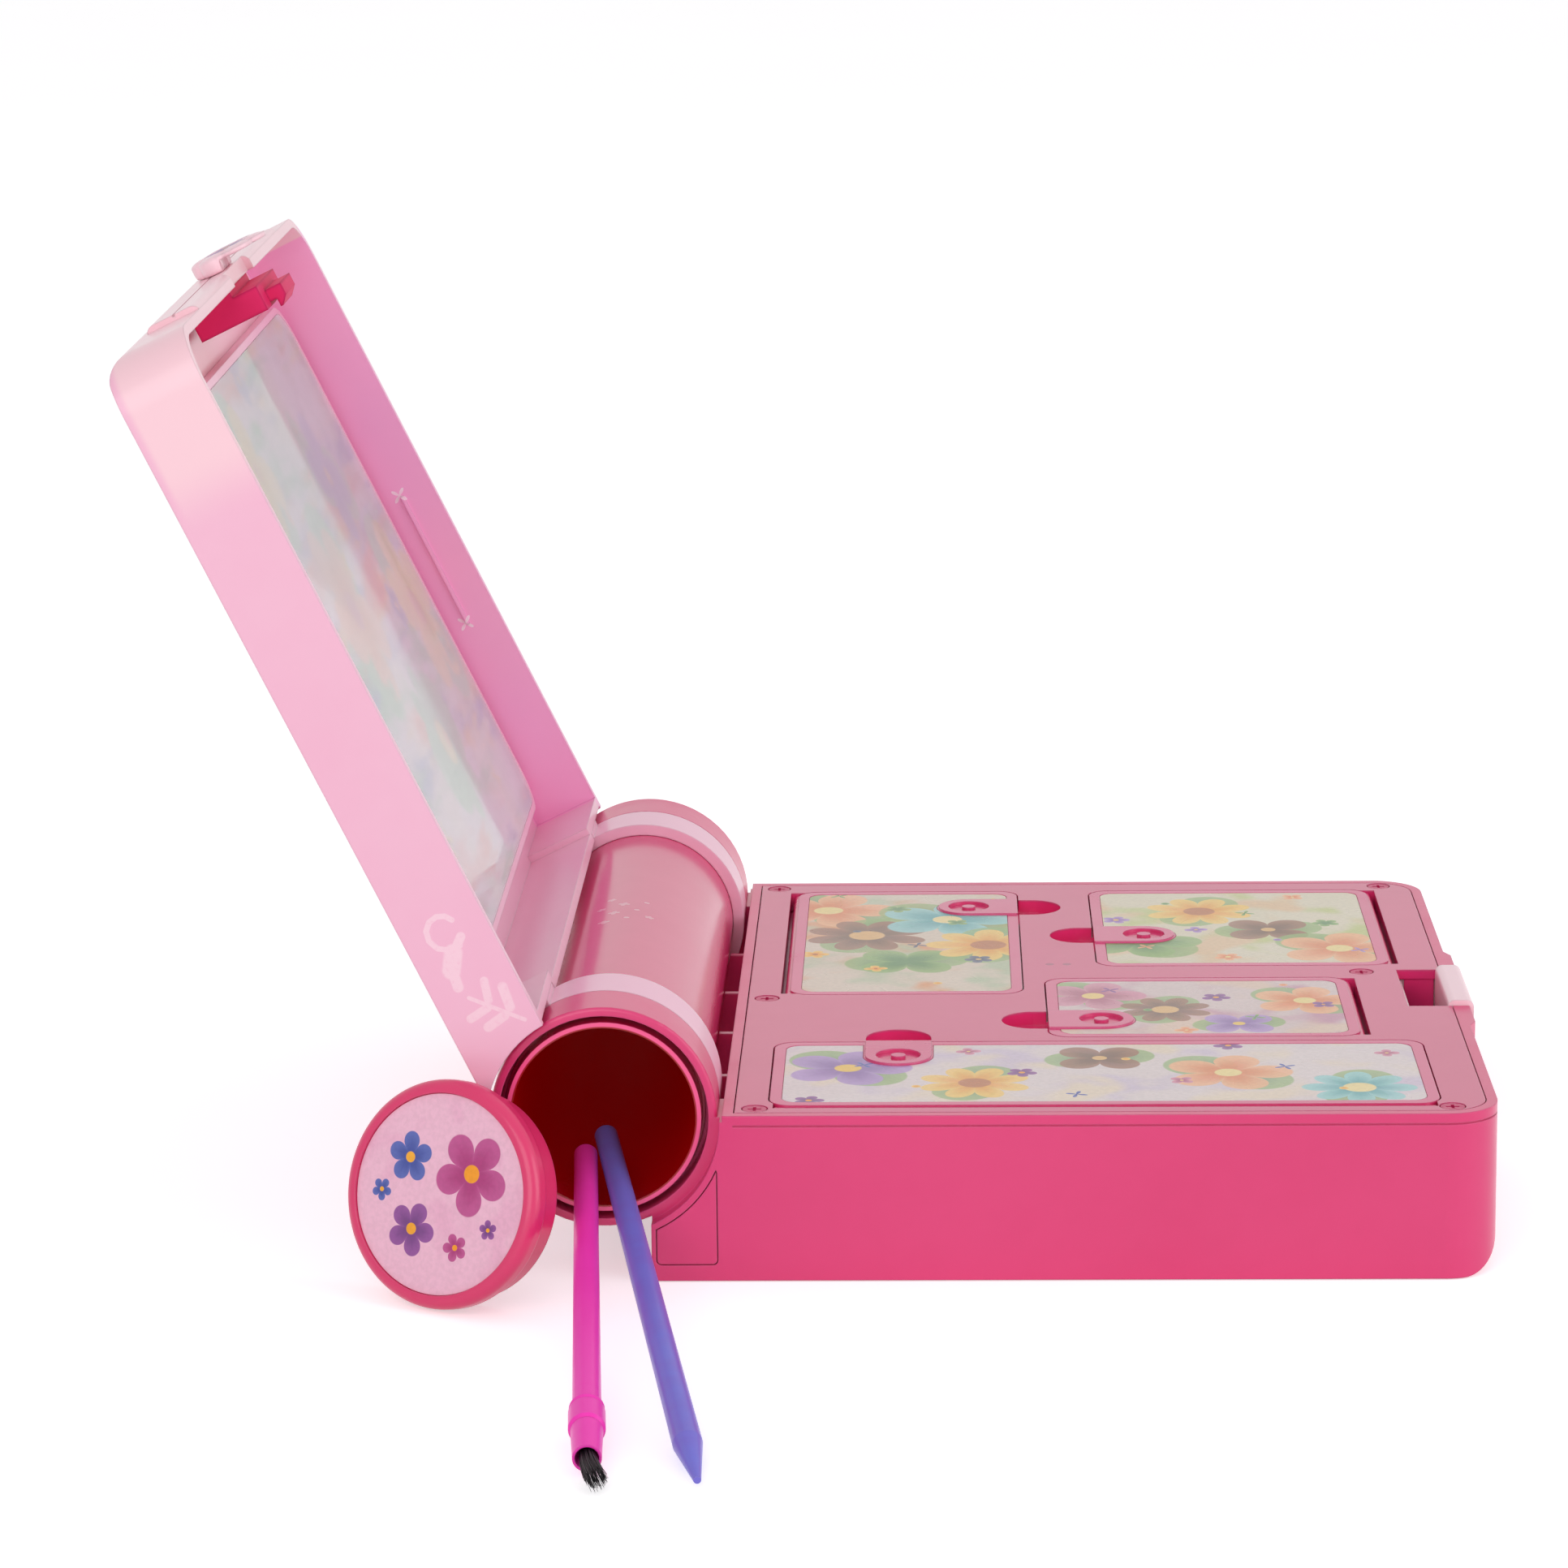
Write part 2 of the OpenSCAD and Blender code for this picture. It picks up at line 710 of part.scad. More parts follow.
module flap_label(f) color("#e8dbd4") place_flap(f) {
    translate([0, 0, -label_t - 0.05]) linear_extrude(label_t) label_outline(f, 0.15);
}

module flap_back_left() flap(BACK_LEFT);
module flap_back_right() flap(BACK_RIGHT);
module flap_middle() flap(MIDDLE);
module flap_front() flap(FRONT);
module label_back_left() flap_label(BACK_LEFT);
module label_back_right() flap_label(BACK_RIGHT);
module label_middle() flap_label(MIDDLE);
module label_front() flap_label(FRONT);

// ---- spine tube ----

module storage_tube() color("#e0457f") at_hinge() difference() {
    union() {
        y_cylinder(tube_r, -tube_end + groove_l, tube_end - groove_l);
        y_cylinder(lip_r, -tube_end + 0.5, tube_end - 0.5);
    }
    y_cylinder(bore_r, -case_d, case_d);
}

module tube_plug() color("#d23a74") at_hinge() {
    y_cylinder(bore_r - 0.02, tube_end - 0.5 - plug_t, tube_end - 0.5);
}

// ---- lid, drawn closed in its own frame ----

module lid_outer() {
    intersection() {
        linear_extrude(lid_h) case_outline(lid_step_u, lid_l, side_y, corner_r);
        along_y(-side_y, side_y)
            end_profile(lid_step_u, lid_l, seam_gap, lid_h, lid_edge_r, true);
    }
    // side walls run on to the rings
    for (s = [-1, 1])
        translate([4, s > 0 ? side_y - lid_wall : -side_y, seam_gap])
            cube([lid_step_u, lid_wall, lid_h - seam_gap]);
    // band across the free end
    along_y(-band_y, band_y) round_rect(lid_l - band_root, lid_l + band_out, seam_gap, band_top, 2);
}

module lid_inner() {
    intersection() {
        linear_extrude(lid_in_w) union() {
            case_outline(lid_in_u, lid_l - lid_wall, side_y - lid_wall, corner_r - lid_wall);
            translate([lid_step_u + lid_wall, -lid_step_y + lid_wall])
                square([20, 2 * (lid_step_y - lid_wall)]);
        }
        along_y(-side_y, side_y)
            end_profile(0, lid_l - lid_wall, -1, lid_in_w, lid_edge_r - lid_wall + 0.5, true);
    }
}

module lid_ring() {
    lid_axis() y_cylinder(ring_r, lid_ring_in, lid_ring_out);
    // block that ties the ring to the spine wall
    translate([ring_r - 6, lid_ring_in, seam_gap]) cube([lid_u - ring_r + 6, ring_w, lid_in_w]);
}

module lid_rings() color("#f5b9d0") place_lid() difference() {
    both_ends() lid_ring();
    lid_axis() y_cylinder(tube_r + ring_clear, -case_d, case_d);
    lid_axis() both_ends() translate([0, lid_ring_out + join, 0]) rotate([90, 0, 0]) stop_slot();
}

module lid_shell() color("#f7bcd4") place_lid() {
    difference() {
        lid_outer();
        lid_inner();
        // corners of the spine wall, set back around the tray's rings
        for (s = [-1, 1])
            translate([0, s > 0 ? lid_step_y : -side_y + lid_wall, -1])
                cube([lid_u, side_y - lid_wall - lid_step_y, lid_h + 2]);
        lid_axis() for (s = [-1, 1])
            translate([0, s > 0 ? side_y - lid_wall - 1 : -side_y - 1, 0])
                y_cylinder(lid_cut_r, 0, lid_wall + 2);
        // notch over the button's top
        translate([lid_l - lid_wall - 3, -button_w / 2 - 1, -1])
            cube([20, button_w + 2, 1 + button_top - tray_h + 0.6]);
        // line in the band
        translate([lid_l + band_out - 0.5, -band_y - 1, line_w]) cube([2, 2 * band_y + 2, 0.6]);
        // window for the clasp's stem
        translate([lid_l - 8, 0, stem_w]) rotate([0, 90, 0]) cylinder(r = stem_r + 0.4, h = 20);
    }
    // short ribs inside the far and near walls
    for (s = [-1, 1])
        translate([rib_u, s > 0 ? side_y - lid_wall - rib_out : -side_y + lid_wall - join, rib_w])
            cube([rib_run, rib_out + join, 0.9]);
}

// The lug meets the slot's ends where the lid is fully open and closed
module stop_slot() {
    stop_arc(stop_at - stop_sweep / 2 - stop_slack - lid_open,
        stop_sweep + lid_open + 2 * stop_slack, stop_w + 0.6, stop_depth + 0.4);
}

// Slab of the panel's outline, drawn in by a margin
module panel_sheet(w, t, margin) {
    translate([0, 0, w]) linear_extrude(t)
        round_rect(panel_u0 + margin, panel_u1 - margin,
            -panel_y + margin, panel_y - margin, panel_r - margin);
}

module panel_frame() color("#f3b3cd") place_lid() difference() {
    panel_sheet(panel_depth, lid_in_w - panel_depth - 0.05, 0);
    panel_sheet(panel_depth - 1, 1 + window_t + card_t, panel_edge);
    // hollow behind the card's bed
    panel_sheet(panel_depth + window_t + card_t + bed_t, lid_h, panel_edge + 1);
}

module picture_card() color("#d9cbdd") place_lid()
    panel_sheet(panel_depth + window_t, card_t, panel_edge + 0.3);

module panel_window() color("#e9e4f2") place_lid()
    panel_sheet(panel_depth, window_t, panel_edge + 0.15);

// ---- latch ----

module latch_hook() color("#c42360") place_lid() difference() {
    translate([hook_u, 0, 0]) {
        translate([-hook_t / 2, -hook_w / 2, -hook_out]) cube([hook_t, hook_w, panel_depth + hook_out]);
        translate([-hook_t / 2 + tongue_x0, -tongue_w / 2, -tongue_out]) cube([tongue_t, tongue_w, tongue_out]);
        // barb with a sloped underside, which catches under the button's bar
        translate([-hook_t / 2 + tongue_x0, 0, -tongue_out]) along_y(-tongue_w / 2, tongue_w / 2)
            polygon([[join, 0], [join, barb_h], [-barb_out, barb_h], [-barb_out, barb_h - 0.6]]);
        // upper half that runs on to the end wall, over the button
        translate([hook_t / 2 - join, -hook_w / 2, hook_step])
            cube([lid_l - lid_wall - hook_u - hook_t / 2, hook_w, panel_depth - hook_step]);
    }
    translate([stem_u - 0.2, 0, stem_w]) rotate([0, 90, 0])
        cylinder(r = stem_r + 0.05, h = clasp_u - stem_u);
}

module flower_clasp() color("#f9c3d6") place_lid() {
    difference() {
        translate([clasp_u, 0, clasp_w]) rotate([0, 90, 0]) difference() {
            linear_extrude(clasp_t) {
                circle(clasp_r - 3);
                for (a = [0 : 60 : 300])
                    rotate([0, 0, a]) translate([clasp_r - petal_r, 0]) circle(petal_r);
            }
            translate([0, 0, clasp_t - 0.4]) cylinder(r = clasp_r - 4.2, h = 1);
        }
        // room for the button behind the lower petals
        translate([lid_l, -clasp_r - 1, -2 * clasp_r])
            cube([button_room, 2 * clasp_r + 2, 2 * clasp_r + button_top - tray_h + 0.6]);
    }
    translate([stem_u, 0, stem_w]) rotate([0, 90, 0]) cylinder(r = stem_r, h = clasp_u - stem_u + 1);
}

module clasp_label() color("#a06aa8") place_lid()
    translate([clasp_u + clasp_t - 0.38, 0, clasp_w]) rotate([0, 90, 0]) cylinder(r = clasp_r - 4.4, h = 0.3);

module release_button() color("#f8b4cf") {
    along_y(-button_w / 2, button_w / 2) {
        round_rect(button_x, button_x1, button_z, button_top, 1.8);
        translate([button_x, button_z]) square([2, button_top - button_z - 2]);
    }
    // flange that keeps the button behind the end wall
    translate([flange_x, -flange_y, button_z - 2])
        cube([flange_t, 2 * flange_y, flange_low - button_z + 2]);
    // arms and catch bar around the pocket
    for (s = [-1, 1]) {
        y = s > 0 ? flange_y - arm_t : -flange_y;
        translate([flange_x, y, flange_low - 1]) cube([flange_t, arm_t, bar_top - flange_low + 1]);
        translate([bar_x0, y, bar_top - arm_h]) cube([flange_x - bar_x0 + flange_t, arm_t, arm_h]);
    }
    translate([bar_x0, -flange_y, bar_top - bar_h]) cube([bar_x1 - bar_x0, 2 * flange_y, bar_h]);
    // pin that carries the spring
    translate([flange_x - pin_l, 0, spring_z]) rotate([0, 90, 0]) cylinder(r = 1.6, h = pin_l + 0.2);
}

module button_spring() color("#b9bcc2")
    translate([spring_x + 0.05, 0, spring_z]) rotate([0, 90, 0])
        linear_extrude(flange_x - spring_x - 0.1, twist = -360 * 5.5, slices = 110, $fn = 8)
            translate([spring_r - spring_wire, 0]) circle(spring_wire);

// ---- cap ----

module place_cap() {
    translate([cap_x, -side_y - cap_out, cap_h]) rotate([0, 0, -cap_turn])
        rotate([90 - cap_lean, 0, 0]) children();
}

module tube_cap() color("#ea4d83") place_cap() difference() {
    union() {
        rotate_extrude($fn = 96) {
            square([cap_r - cap_round, cap_t]);
            translate([0, rim_round]) square([cap_r, cap_t - rim_round - cap_round]);
            translate([cap_r - rim_round, rim_round]) circle(rim_round, $fn = 32);
            translate([cap_r - cap_round, cap_t - cap_round]) circle(cap_round, $fn = 48);
        }
        translate([0, 0, -skirt_l]) cylinder(r = skirt_r, h = skirt_l + join);
    }
    translate([0, 0, -skirt_l - 1]) cylinder(r = skirt_r - skirt_wall, h = skirt_l + 1);
    translate([0, 0, cap_t - label_deep]) cylinder(r = cap_label_r + 0.15, h = 2);
}

module cap_label() color("#e29bbf") place_cap()
    translate([0, 0, cap_t - label_deep + 0.02]) cylinder(r = cap_label_r, h = label_t);

// ---- tools ----

// Puts a tool on its tip, with its axis along z from the tip
module place_tool(tip, dx, r) {
    translate(tip) rotate([pitch(tip, dx, r) - 90, 0, -turn(tip, dx)]) children();
}

module brush_handle() color("#ea37a6") place_tool(brush_tip, brush_lip, brush_r) {
    rotate_extrude($fn = 32) polygon([
        [0, collar_z], [brush_r, collar_z],
        [brush_r + 0.85, collar_z + 1], [brush_r + 0.85, collar_z + collar_l - 3],
        [brush_r + 0.3, collar_z + collar_l - 2], [brush_r + 0.7, collar_z + collar_l - 1],
        [brush_r, collar_z + collar_l], [brush_r - 0.35, brush_l - 1], [brush_r - 1.2, brush_l], [0, brush_l]
    ]);
}

module brush_ferrule() color("#d83fa8") place_tool(brush_tip, brush_lip, brush_r) difference() {
    translate([0, 0, ferrule_z]) cylinder(r1 = brush_r, r2 = brush_r + 0.35, h = collar_z - ferrule_z);
    translate([0, 0, ferrule_z - 1]) cylinder(r = brush_r - 0.55, h = collar_z - ferrule_z - 3);
}

module brush_bristles() color("#1b181b") place_tool(brush_tip, brush_lip, brush_r)
    cylinder(r1 = brush_r - 0.95, r2 = brush_r - 0.6, h = collar_z - 5);

module stylus() color("#7a67bd") place_tool(stylus_tip, stylus_lip, stylus_r) {
    cylinder(r1 = 0.8, r2 = stylus_r, h = stylus_point, $fn = 48);
    translate([0, 0, stylus_point - join])
        cylinder(r1 = stylus_r, r2 = stylus_r - 0.45, h = stylus_l - stylus_point, $fn = 48);
}

tray_shell();
cradle_ribs();
cradle_covers();
deck_plate();
deck_screws();
well_back_left();
well_back_right();
well_middle();
well_front();
flap_back_left();
flap_back_right();
flap_middle();
flap_front();
label_back_left();
label_back_right();
label_middle();
label_front();
storage_tube();
tube_plug();
lid_shell();
lid_rings();
panel_frame();
picture_card();
panel_window();
latch_hook();
flower_clasp();
clasp_label();
release_button();
button_spring();
tube_cap();
cap_label();
brush_handle();
brush_ferrule();
brush_bristles();
stylus();
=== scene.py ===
import json
import math
import bmesh
import bpy
from mathutils import Matrix, Vector


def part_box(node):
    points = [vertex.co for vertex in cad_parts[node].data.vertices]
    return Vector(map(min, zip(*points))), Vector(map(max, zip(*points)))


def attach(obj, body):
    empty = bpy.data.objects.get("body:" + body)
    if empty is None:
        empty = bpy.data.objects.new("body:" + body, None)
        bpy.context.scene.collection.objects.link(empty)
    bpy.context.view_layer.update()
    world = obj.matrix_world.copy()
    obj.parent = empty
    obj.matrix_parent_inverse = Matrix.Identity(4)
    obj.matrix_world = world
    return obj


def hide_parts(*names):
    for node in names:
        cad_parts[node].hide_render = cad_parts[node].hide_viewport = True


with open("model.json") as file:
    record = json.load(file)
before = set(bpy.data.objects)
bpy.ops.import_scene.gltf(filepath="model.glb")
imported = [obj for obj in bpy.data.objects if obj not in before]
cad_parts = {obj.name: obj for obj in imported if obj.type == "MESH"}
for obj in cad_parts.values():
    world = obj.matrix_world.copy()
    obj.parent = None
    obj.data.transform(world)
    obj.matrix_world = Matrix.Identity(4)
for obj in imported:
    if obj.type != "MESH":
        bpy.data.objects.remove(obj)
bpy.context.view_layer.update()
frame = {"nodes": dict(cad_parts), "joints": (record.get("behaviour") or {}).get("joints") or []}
nodes = frame["nodes"]
mm = 0.001
print("case: frame loaded with", len(nodes), "nodes")


def tint(red, green, blue):  # sRGB bytes to a linear colour
    parts = [part / 255 for part in (red, green, blue)]
    return tuple(((part + 0.055) / 1.055) ** 2.4 if part > 0.04 else part / 12.92 for part in parts) + (1.0,)


# camera and studio

cameraLook = {
    "place": (-37.975, -1267.07, 371.42),  # millimetres
    "down": 12.569,  # degrees
    "left": 1.652,
    "roll": -0.666,
    "lens": 125.13,
    "sensor": 36.0,
}


def makeCamera(look):
    down, left, roll = (math.radians(look[key]) for key in ("down", "left", "roll"))
    ahead = Vector((-math.sin(left) * math.cos(down), math.cos(left) * math.cos(down), -math.sin(down)))
    side = Vector((math.cos(left), math.sin(left), 0))
    above = side.cross(ahead)
    turnedSide = side * math.cos(roll) + above * math.sin(roll)
    turnedAbove = above * math.cos(roll) - side * math.sin(roll)
    data = bpy.data.cameras.new("studioCamera")
    data.lens = look["lens"]
    data.sensor_width = look["sensor"]
    data.sensor_fit = "HORIZONTAL"
    data.clip_start = 0.05
    data.clip_end = 50
    camera = bpy.data.objects.new("studioCamera", data)
    turn = Matrix((turnedSide, turnedAbove, -ahead)).transposed()
    camera.matrix_world = Matrix.Translation(Vector(look["place"]) * mm) @ turn.to_4x4()
    bpy.context.scene.collection.objects.link(camera)
    bpy.context.scene.camera = camera
    bpy.context.scene.view_settings.view_transform = "Standard"


studioLook = {
    "skyColour": (1.0, 1.0, 1.0),
    "skyStrength": 0.52,
    "backStrength": 1.0,  # what the camera and reflections see
    "floorColour": tint(250, 249, 250),
    "floorGlow": 0.5,
    "floorHalf": 9.0,  # metres
    "floorDrop": 0.0003,
    "aim": (-0.03, 0, 0.08),
    "lamps": {  # place, size and power of each soft box
        "keyBox": ((-0.6, -1.9, 0.95), 1.5, 13.5),
        "topBox": ((0.2, 0.1, 1.7), 1.8, 1.5),
        "fillBox": ((1.7, -0.8, 0.7), 1.3, 11.0),
    },
}


def makeStudio(look):
    world = bpy.data.worlds.new("paleRoom")
    bpy.context.scene.world = world
    world.use_nodes = True
    tree = world.node_tree
    back = tree.nodes["Background"]
    back.inputs["Color"].default_value = look["skyColour"] + (1.0,)
    strength = mixNumber(tree, seenDirectly(tree), look["skyStrength"], look["backStrength"])
    tree.links.new(strength, back.inputs["Strength"])
    half = look["floorHalf"]
    corners = [(-half, -half), (half, -half), (half, half), (-half, half)]
    mesh = bpy.data.meshes.new("floor")
    mesh.from_pydata([(x, y, -look["floorDrop"]) for x, y in corners], [], [(0, 1, 2, 3)])
    floor = bpy.data.objects.new("floor", mesh)
    bpy.context.scene.collection.objects.link(floor)
    floor.data.materials.append(floorPaper(look))
    for name, (place, size, power) in look["lamps"].items():
        data = bpy.data.lights.new(name, "AREA")
        data.size = size
        data.energy = power
        lamp = bpy.data.objects.new(name, data)
        lamp.location = place
        lamp.rotation_euler = (Vector(look["aim"]) - Vector(place)).to_track_quat("-Z", "Y").to_euler()
        bpy.context.scene.collection.objects.link(lamp)


# small steps for building node trees


def addNode(tree, kind, **settings):
    node = tree.nodes.new(kind)
    for name, value in settings.items():
        setattr(node, name, value)
    return node


def feed(tree, node, socket, value):  # joins a socket or sets its value
    if isinstance(value, bpy.types.NodeSocket):
        tree.links.new(value, node.inputs[socket])
    else:
        node.inputs[socket].default_value = value


def calc(tree, operation, *values):
    node = addNode(tree, "ShaderNodeMath", operation=operation)
    for place, value in enumerate(values):
        feed(tree, node, place, value)
    return node.outputs[0]


def vectorCalc(tree, operation, *values):
    node = addNode(tree, "ShaderNodeVectorMath", operation=operation)
    for place, value in enumerate(values):
        feed(tree, node, place, value)
    return node.outputs["Value" if operation in ("LENGTH", "DOT_PRODUCT") else "Vector"]


def scaled(tree, vector, factor):
    node = addNode(tree, "ShaderNodeVectorMath", operation="SCALE")
    feed(tree, node, 0, vector)
    feed(tree, node, "Scale", factor)
    return node.outputs["Vector"]


def split(tree, vector):  # x, y and z
    node = addNode(tree, "ShaderNodeSeparateXYZ")
    feed(tree, node, 0, vector)
    return node.outputs


def combine(tree, *parts):
    node = addNode(tree, "ShaderNodeCombineXYZ")
    for place, part in enumerate(parts):
        feed(tree, node, place, part)
    return node.outputs[0]


def objectCoords(tree):
    return addNode(tree, "ShaderNodeTexCoord").outputs["Object"]


def mixColour(tree, amount, first, second):
    node = addNode(tree, "ShaderNodeMix", data_type="RGBA")
    feed(tree, node, 0, amount)
    feed(tree, node, 6, first)
    feed(tree, node, 7, second)
    return node.outputs[2]


def mixNumber(tree, amount, first, second):
    node = addNode(tree, "ShaderNodeMix", data_type="FLOAT")
    feed(tree, node, 0, amount)
    feed(tree, node, 2, first)
    feed(tree, node, 3, second)
    return node.outputs[0]


def between(tree, value, low, high, lowResult=0.0, highResult=1.0):
    node = addNode(tree, "ShaderNodeMapRange", interpolation_type="SMOOTHSTEP")
    for socket, number in enumerate((value, low, high, lowResult, highResult)):
        feed(tree, node, socket, number)
    return node.outputs[0]


def noise(tree, coords, scale, detail=2.0, rough=0.5):
    node = addNode(tree, "ShaderNodeTexNoise")
    feed(tree, node, "Vector", coords)
    feed(tree, node, "Scale", scale)
    feed(tree, node, "Detail", detail)
    feed(tree, node, "Roughness", rough)
    return node.outputs["Fac"]


def seenDirectly(tree):  # camera, glossy and transmission rays
    path = addNode(tree, "ShaderNodeLightPath")
    some = calc(tree, "MAXIMUM", path.outputs["Is Camera Ray"], path.outputs["Is Glossy Ray"])
    return calc(tree, "MAXIMUM", some, path.outputs["Is Transmission Ray"])


def makeGroup(name, inputs, outputs):
    group = bpy.data.node_groups.new(name, "ShaderNodeTree")
    for label, (kind, value) in inputs.items():
        socket = group.interface.new_socket(name=label, in_out="INPUT", socket_type="NodeSocket" + kind)
        if value is not None:
            socket.default_value = value
    for label, kind in outputs.items():
        group.interface.new_socket(name=label, in_out="OUTPUT", socket_type="NodeSocket" + kind)
    return group, group.nodes.new("NodeGroupInput"), group.nodes.new("NodeGroupOutput")


def useGroup(tree, group, **values):
    node = addNode(tree, "ShaderNodeGroup", node_tree=group)
    for label, value in values.items():
        feed(tree, node, label, value)
    return node


# shared surface effects


def mouldingGroup():  # colour drift, handling marks and orange peel of moulded plastic
    group, start, end = makeGroup(
        "mouldedSurface",
        {
            "Colour": ("Color", (0.8, 0.1, 0.3, 1)),
            "Deep": ("Color", (0.6, 0.05, 0.2, 1)),
            "Drift": ("Float", 0.3),
            "Gloss": ("Float", 0.25),
            "Marks": ("Float", 0.06),
            "Peel": ("Float", 0.5),
        },
        {"Colour": "Color", "Roughness": "Float", "Height": "Float"},
    )
    coords = objectCoords(group)
    broad = between(group, noise(group, coords, 9.0, 3.0), 0.35, 0.7)
    fine = between(group, noise(group, coords, 140.0, 2.0), 0.3, 0.75)
    depth = calc(group, "MULTIPLY", calc(group, "MULTIPLY_ADD", fine, 0.35, broad), start.outputs["Drift"])
    feed(group, end, "Colour", mixColour(group, depth, start.outputs["Colour"], start.outputs["Deep"]))
    stretch = addNode(group, "ShaderNodeMapping")
    feed(group, stretch, "Vector", coords)
    feed(group, stretch, "Rotation", (0.3, 0.2, 0.6))
    feed(group, stretch, "Scale", (60.0, 900.0, 500.0))
    hairlines = between(group, noise(group, stretch.outputs[0], 1.0, 2.0), 0.62, 0.72)
    smears = between(group, noise(group, coords, 34.0, 4.0, 0.6), 0.45, 0.75)
    marks = calc(group, "MAXIMUM", calc(group, "MULTIPLY", hairlines, 0.6), smears)
    feed(group, end, "Roughness", calc(group, "MULTIPLY_ADD", marks, start.outputs["Marks"], start.outputs["Gloss"]))
    peel = noise(group, coords, 420.0, 1.0)
    feed(group, end, "Height", calc(group, "MULTIPLY", peel, start.outputs["Peel"]))
    return group


def softEdgeGroup():  # rounds edges for the light and gives a mask of them, used to paint highlights along edges and shade on the latch hook
    group, start, end = makeGroup(
        "softEdge", {"Radius": ("Float", 0.0004)}, {"Normal": "Vector", "Edge": "Float"}
    )
    bevel = addNode(group, "ShaderNodeBevel", samples=4)
    feed(group, bevel, "Radius", start.outputs["Radius"])
    facing = addNode(group, "ShaderNodeNewGeometry").outputs["Normal"]
    match = vectorCalc(group, "DOT_PRODUCT", bevel.outputs[0], facing)
    feed(group, end, "Normal", bevel.outputs[0])
    feed(group, end, "Edge", between(group, match, 0.995, 0.8))
    return group


def motifGroup():  # one printed flower, leaf pair, star or dot over what lies under it
    group, start, end = makeGroup(
        "printedMotif",
        {
            "Ground": ("Color", (1, 1, 1, 1)),
            "Coords": ("Vector", None),
            "Place": ("Vector", (0, 0, 0)),
            "Size": ("Float", 5.0),
            "Turn": ("Float", 0.0),
            "Petals": ("Float", 5.0),
            "Notch": ("Float", 0.5),
            "Fullness": ("Float", 0.6),
            "Inner": ("Color", (0.5, 0.2, 0.5, 1)),
            "Outer": ("Color", (0.6, 0.3, 0.6, 1)),
            "Eye": ("Color", (1, 0.5, 0.1, 1)),
            "Eye Size": ("Float", 0.25),
            "Ink": ("Float", 1.0),
        },
        {"Colour": "Color"},
    )
    given = start.outputs
    flat = vectorCalc(group, "MULTIPLY", vectorCalc(group, "SUBTRACT", given["Coords"], given["Place"]), (1, 1, 0))
    reach = calc(group, "DIVIDE", vectorCalc(group, "LENGTH", flat), given["Size"])
    x, y, _ = split(group, flat)
    angle = calc(group, "ADD", calc(group, "ARCTAN2", y, x), given["Turn"])
    swing = calc(group, "MULTIPLY", calc(group, "MULTIPLY", angle, given["Petals"]), 0.5)
    lobe = calc(group, "POWER", calc(group, "ABSOLUTE", calc(group, "COSINE", swing)), given["Fullness"])
    edge = calc(group, "SUBTRACT", 1.0, calc(group, "MULTIPLY", calc(group, "SUBTRACT", 1.0, lobe), given["Notch"]))
    share = calc(group, "DIVIDE", reach, calc(group, "MAXIMUM", edge, 0.02))
    mask = calc(group, "MULTIPLY", between(group, share, 1.0, 0.96), given["Ink"])
    petal = mixColour(group, between(group, share, 0.25, 0.95), given["Inner"], given["Outer"])
    vein = calc(group, "MULTIPLY", between(group, lobe, 0.985, 1.0), between(group, share, 0.85, 0.5))
    petal = mixColour(group, calc(group, "MULTIPLY", vein, 0.35), petal, given["Inner"])
    eye = between(group, reach, given["Eye Size"], calc(group, "MULTIPLY", given["Eye Size"], 0.88))
    petal = mixColour(group, eye, petal, given["Eye"])
    feed(group, end, "Colour", mixColour(group, mask, given["Ground"], petal))
    return group


def strokeGroup():  # one straight pen stroke with round ends
    group, start, end = makeGroup(
        "penStroke",
        {
            "Coords": ("Vector", None),
            "From": ("Vector", (0, 0, 0)),
            "To": ("Vector", (1, 0, 0)),
            "Width": ("Float", 1.0),
        },
        {"Mask": "Float"},
    )
    given = start.outputs
    flat = vectorCalc(group, "MULTIPLY", vectorCalc(group, "SUBTRACT", given["Coords"], given["From"]), (1, 1, 0))
    run = vectorCalc(group, "SUBTRACT", given["To"], given["From"])
    ahead = vectorCalc(group, "DOT_PRODUCT", flat, run)
    along = calc(group, "DIVIDE", ahead, vectorCalc(group, "DOT_PRODUCT", run, run))
    share = calc(group, "MINIMUM", calc(group, "MAXIMUM", along, 0.0), 1.0)
    away = vectorCalc(group, "LENGTH", vectorCalc(group, "SUBTRACT", flat, scaled(group, run, share)))
    half = calc(group, "MULTIPLY", given["Width"], 0.5)
    feed(group, end, "Mask", between(group, away, half, calc(group, "MULTIPLY", half, 0.7)))
    return group


moulding = mouldingGroup()
softEdge = softEdgeGroup()
motif = motifGroup()
stroke = strokeGroup()
print("case: shared effects ready")


# finishes


def newMaterial(name):
    material = bpy.data.materials.new(name)
    material.use_nodes = True
    return material, material.node_tree, material.node_tree.nodes["Principled BSDF"]


def floorPaper(look):
    material, tree, shader = newMaterial("floorPaper")
    coords = objectCoords(tree)
    grain = between(tree, noise(tree, coords, 3.0), 0.2, 0.8, 0.985, 1.0)
    shade = addNode(tree, "ShaderNodeHueSaturation")
    feed(tree, shade, "Color", look["floorColour"])
    feed(tree, shade, "Value", grain)
    feed(tree, shader, "Base Color", shade.outputs[0])
    feed(tree, shader, "Roughness", 0.9)
    feed(tree, shader, "Specular IOR Level", 0.1)
    feed(tree, shader, "Emission Color", look["floorColour"])
    glow = calc(tree, "MULTIPLY", seenDirectly(tree), look["floorGlow"])
    feed(tree, shader, "Emission Strength", glow)
    return material


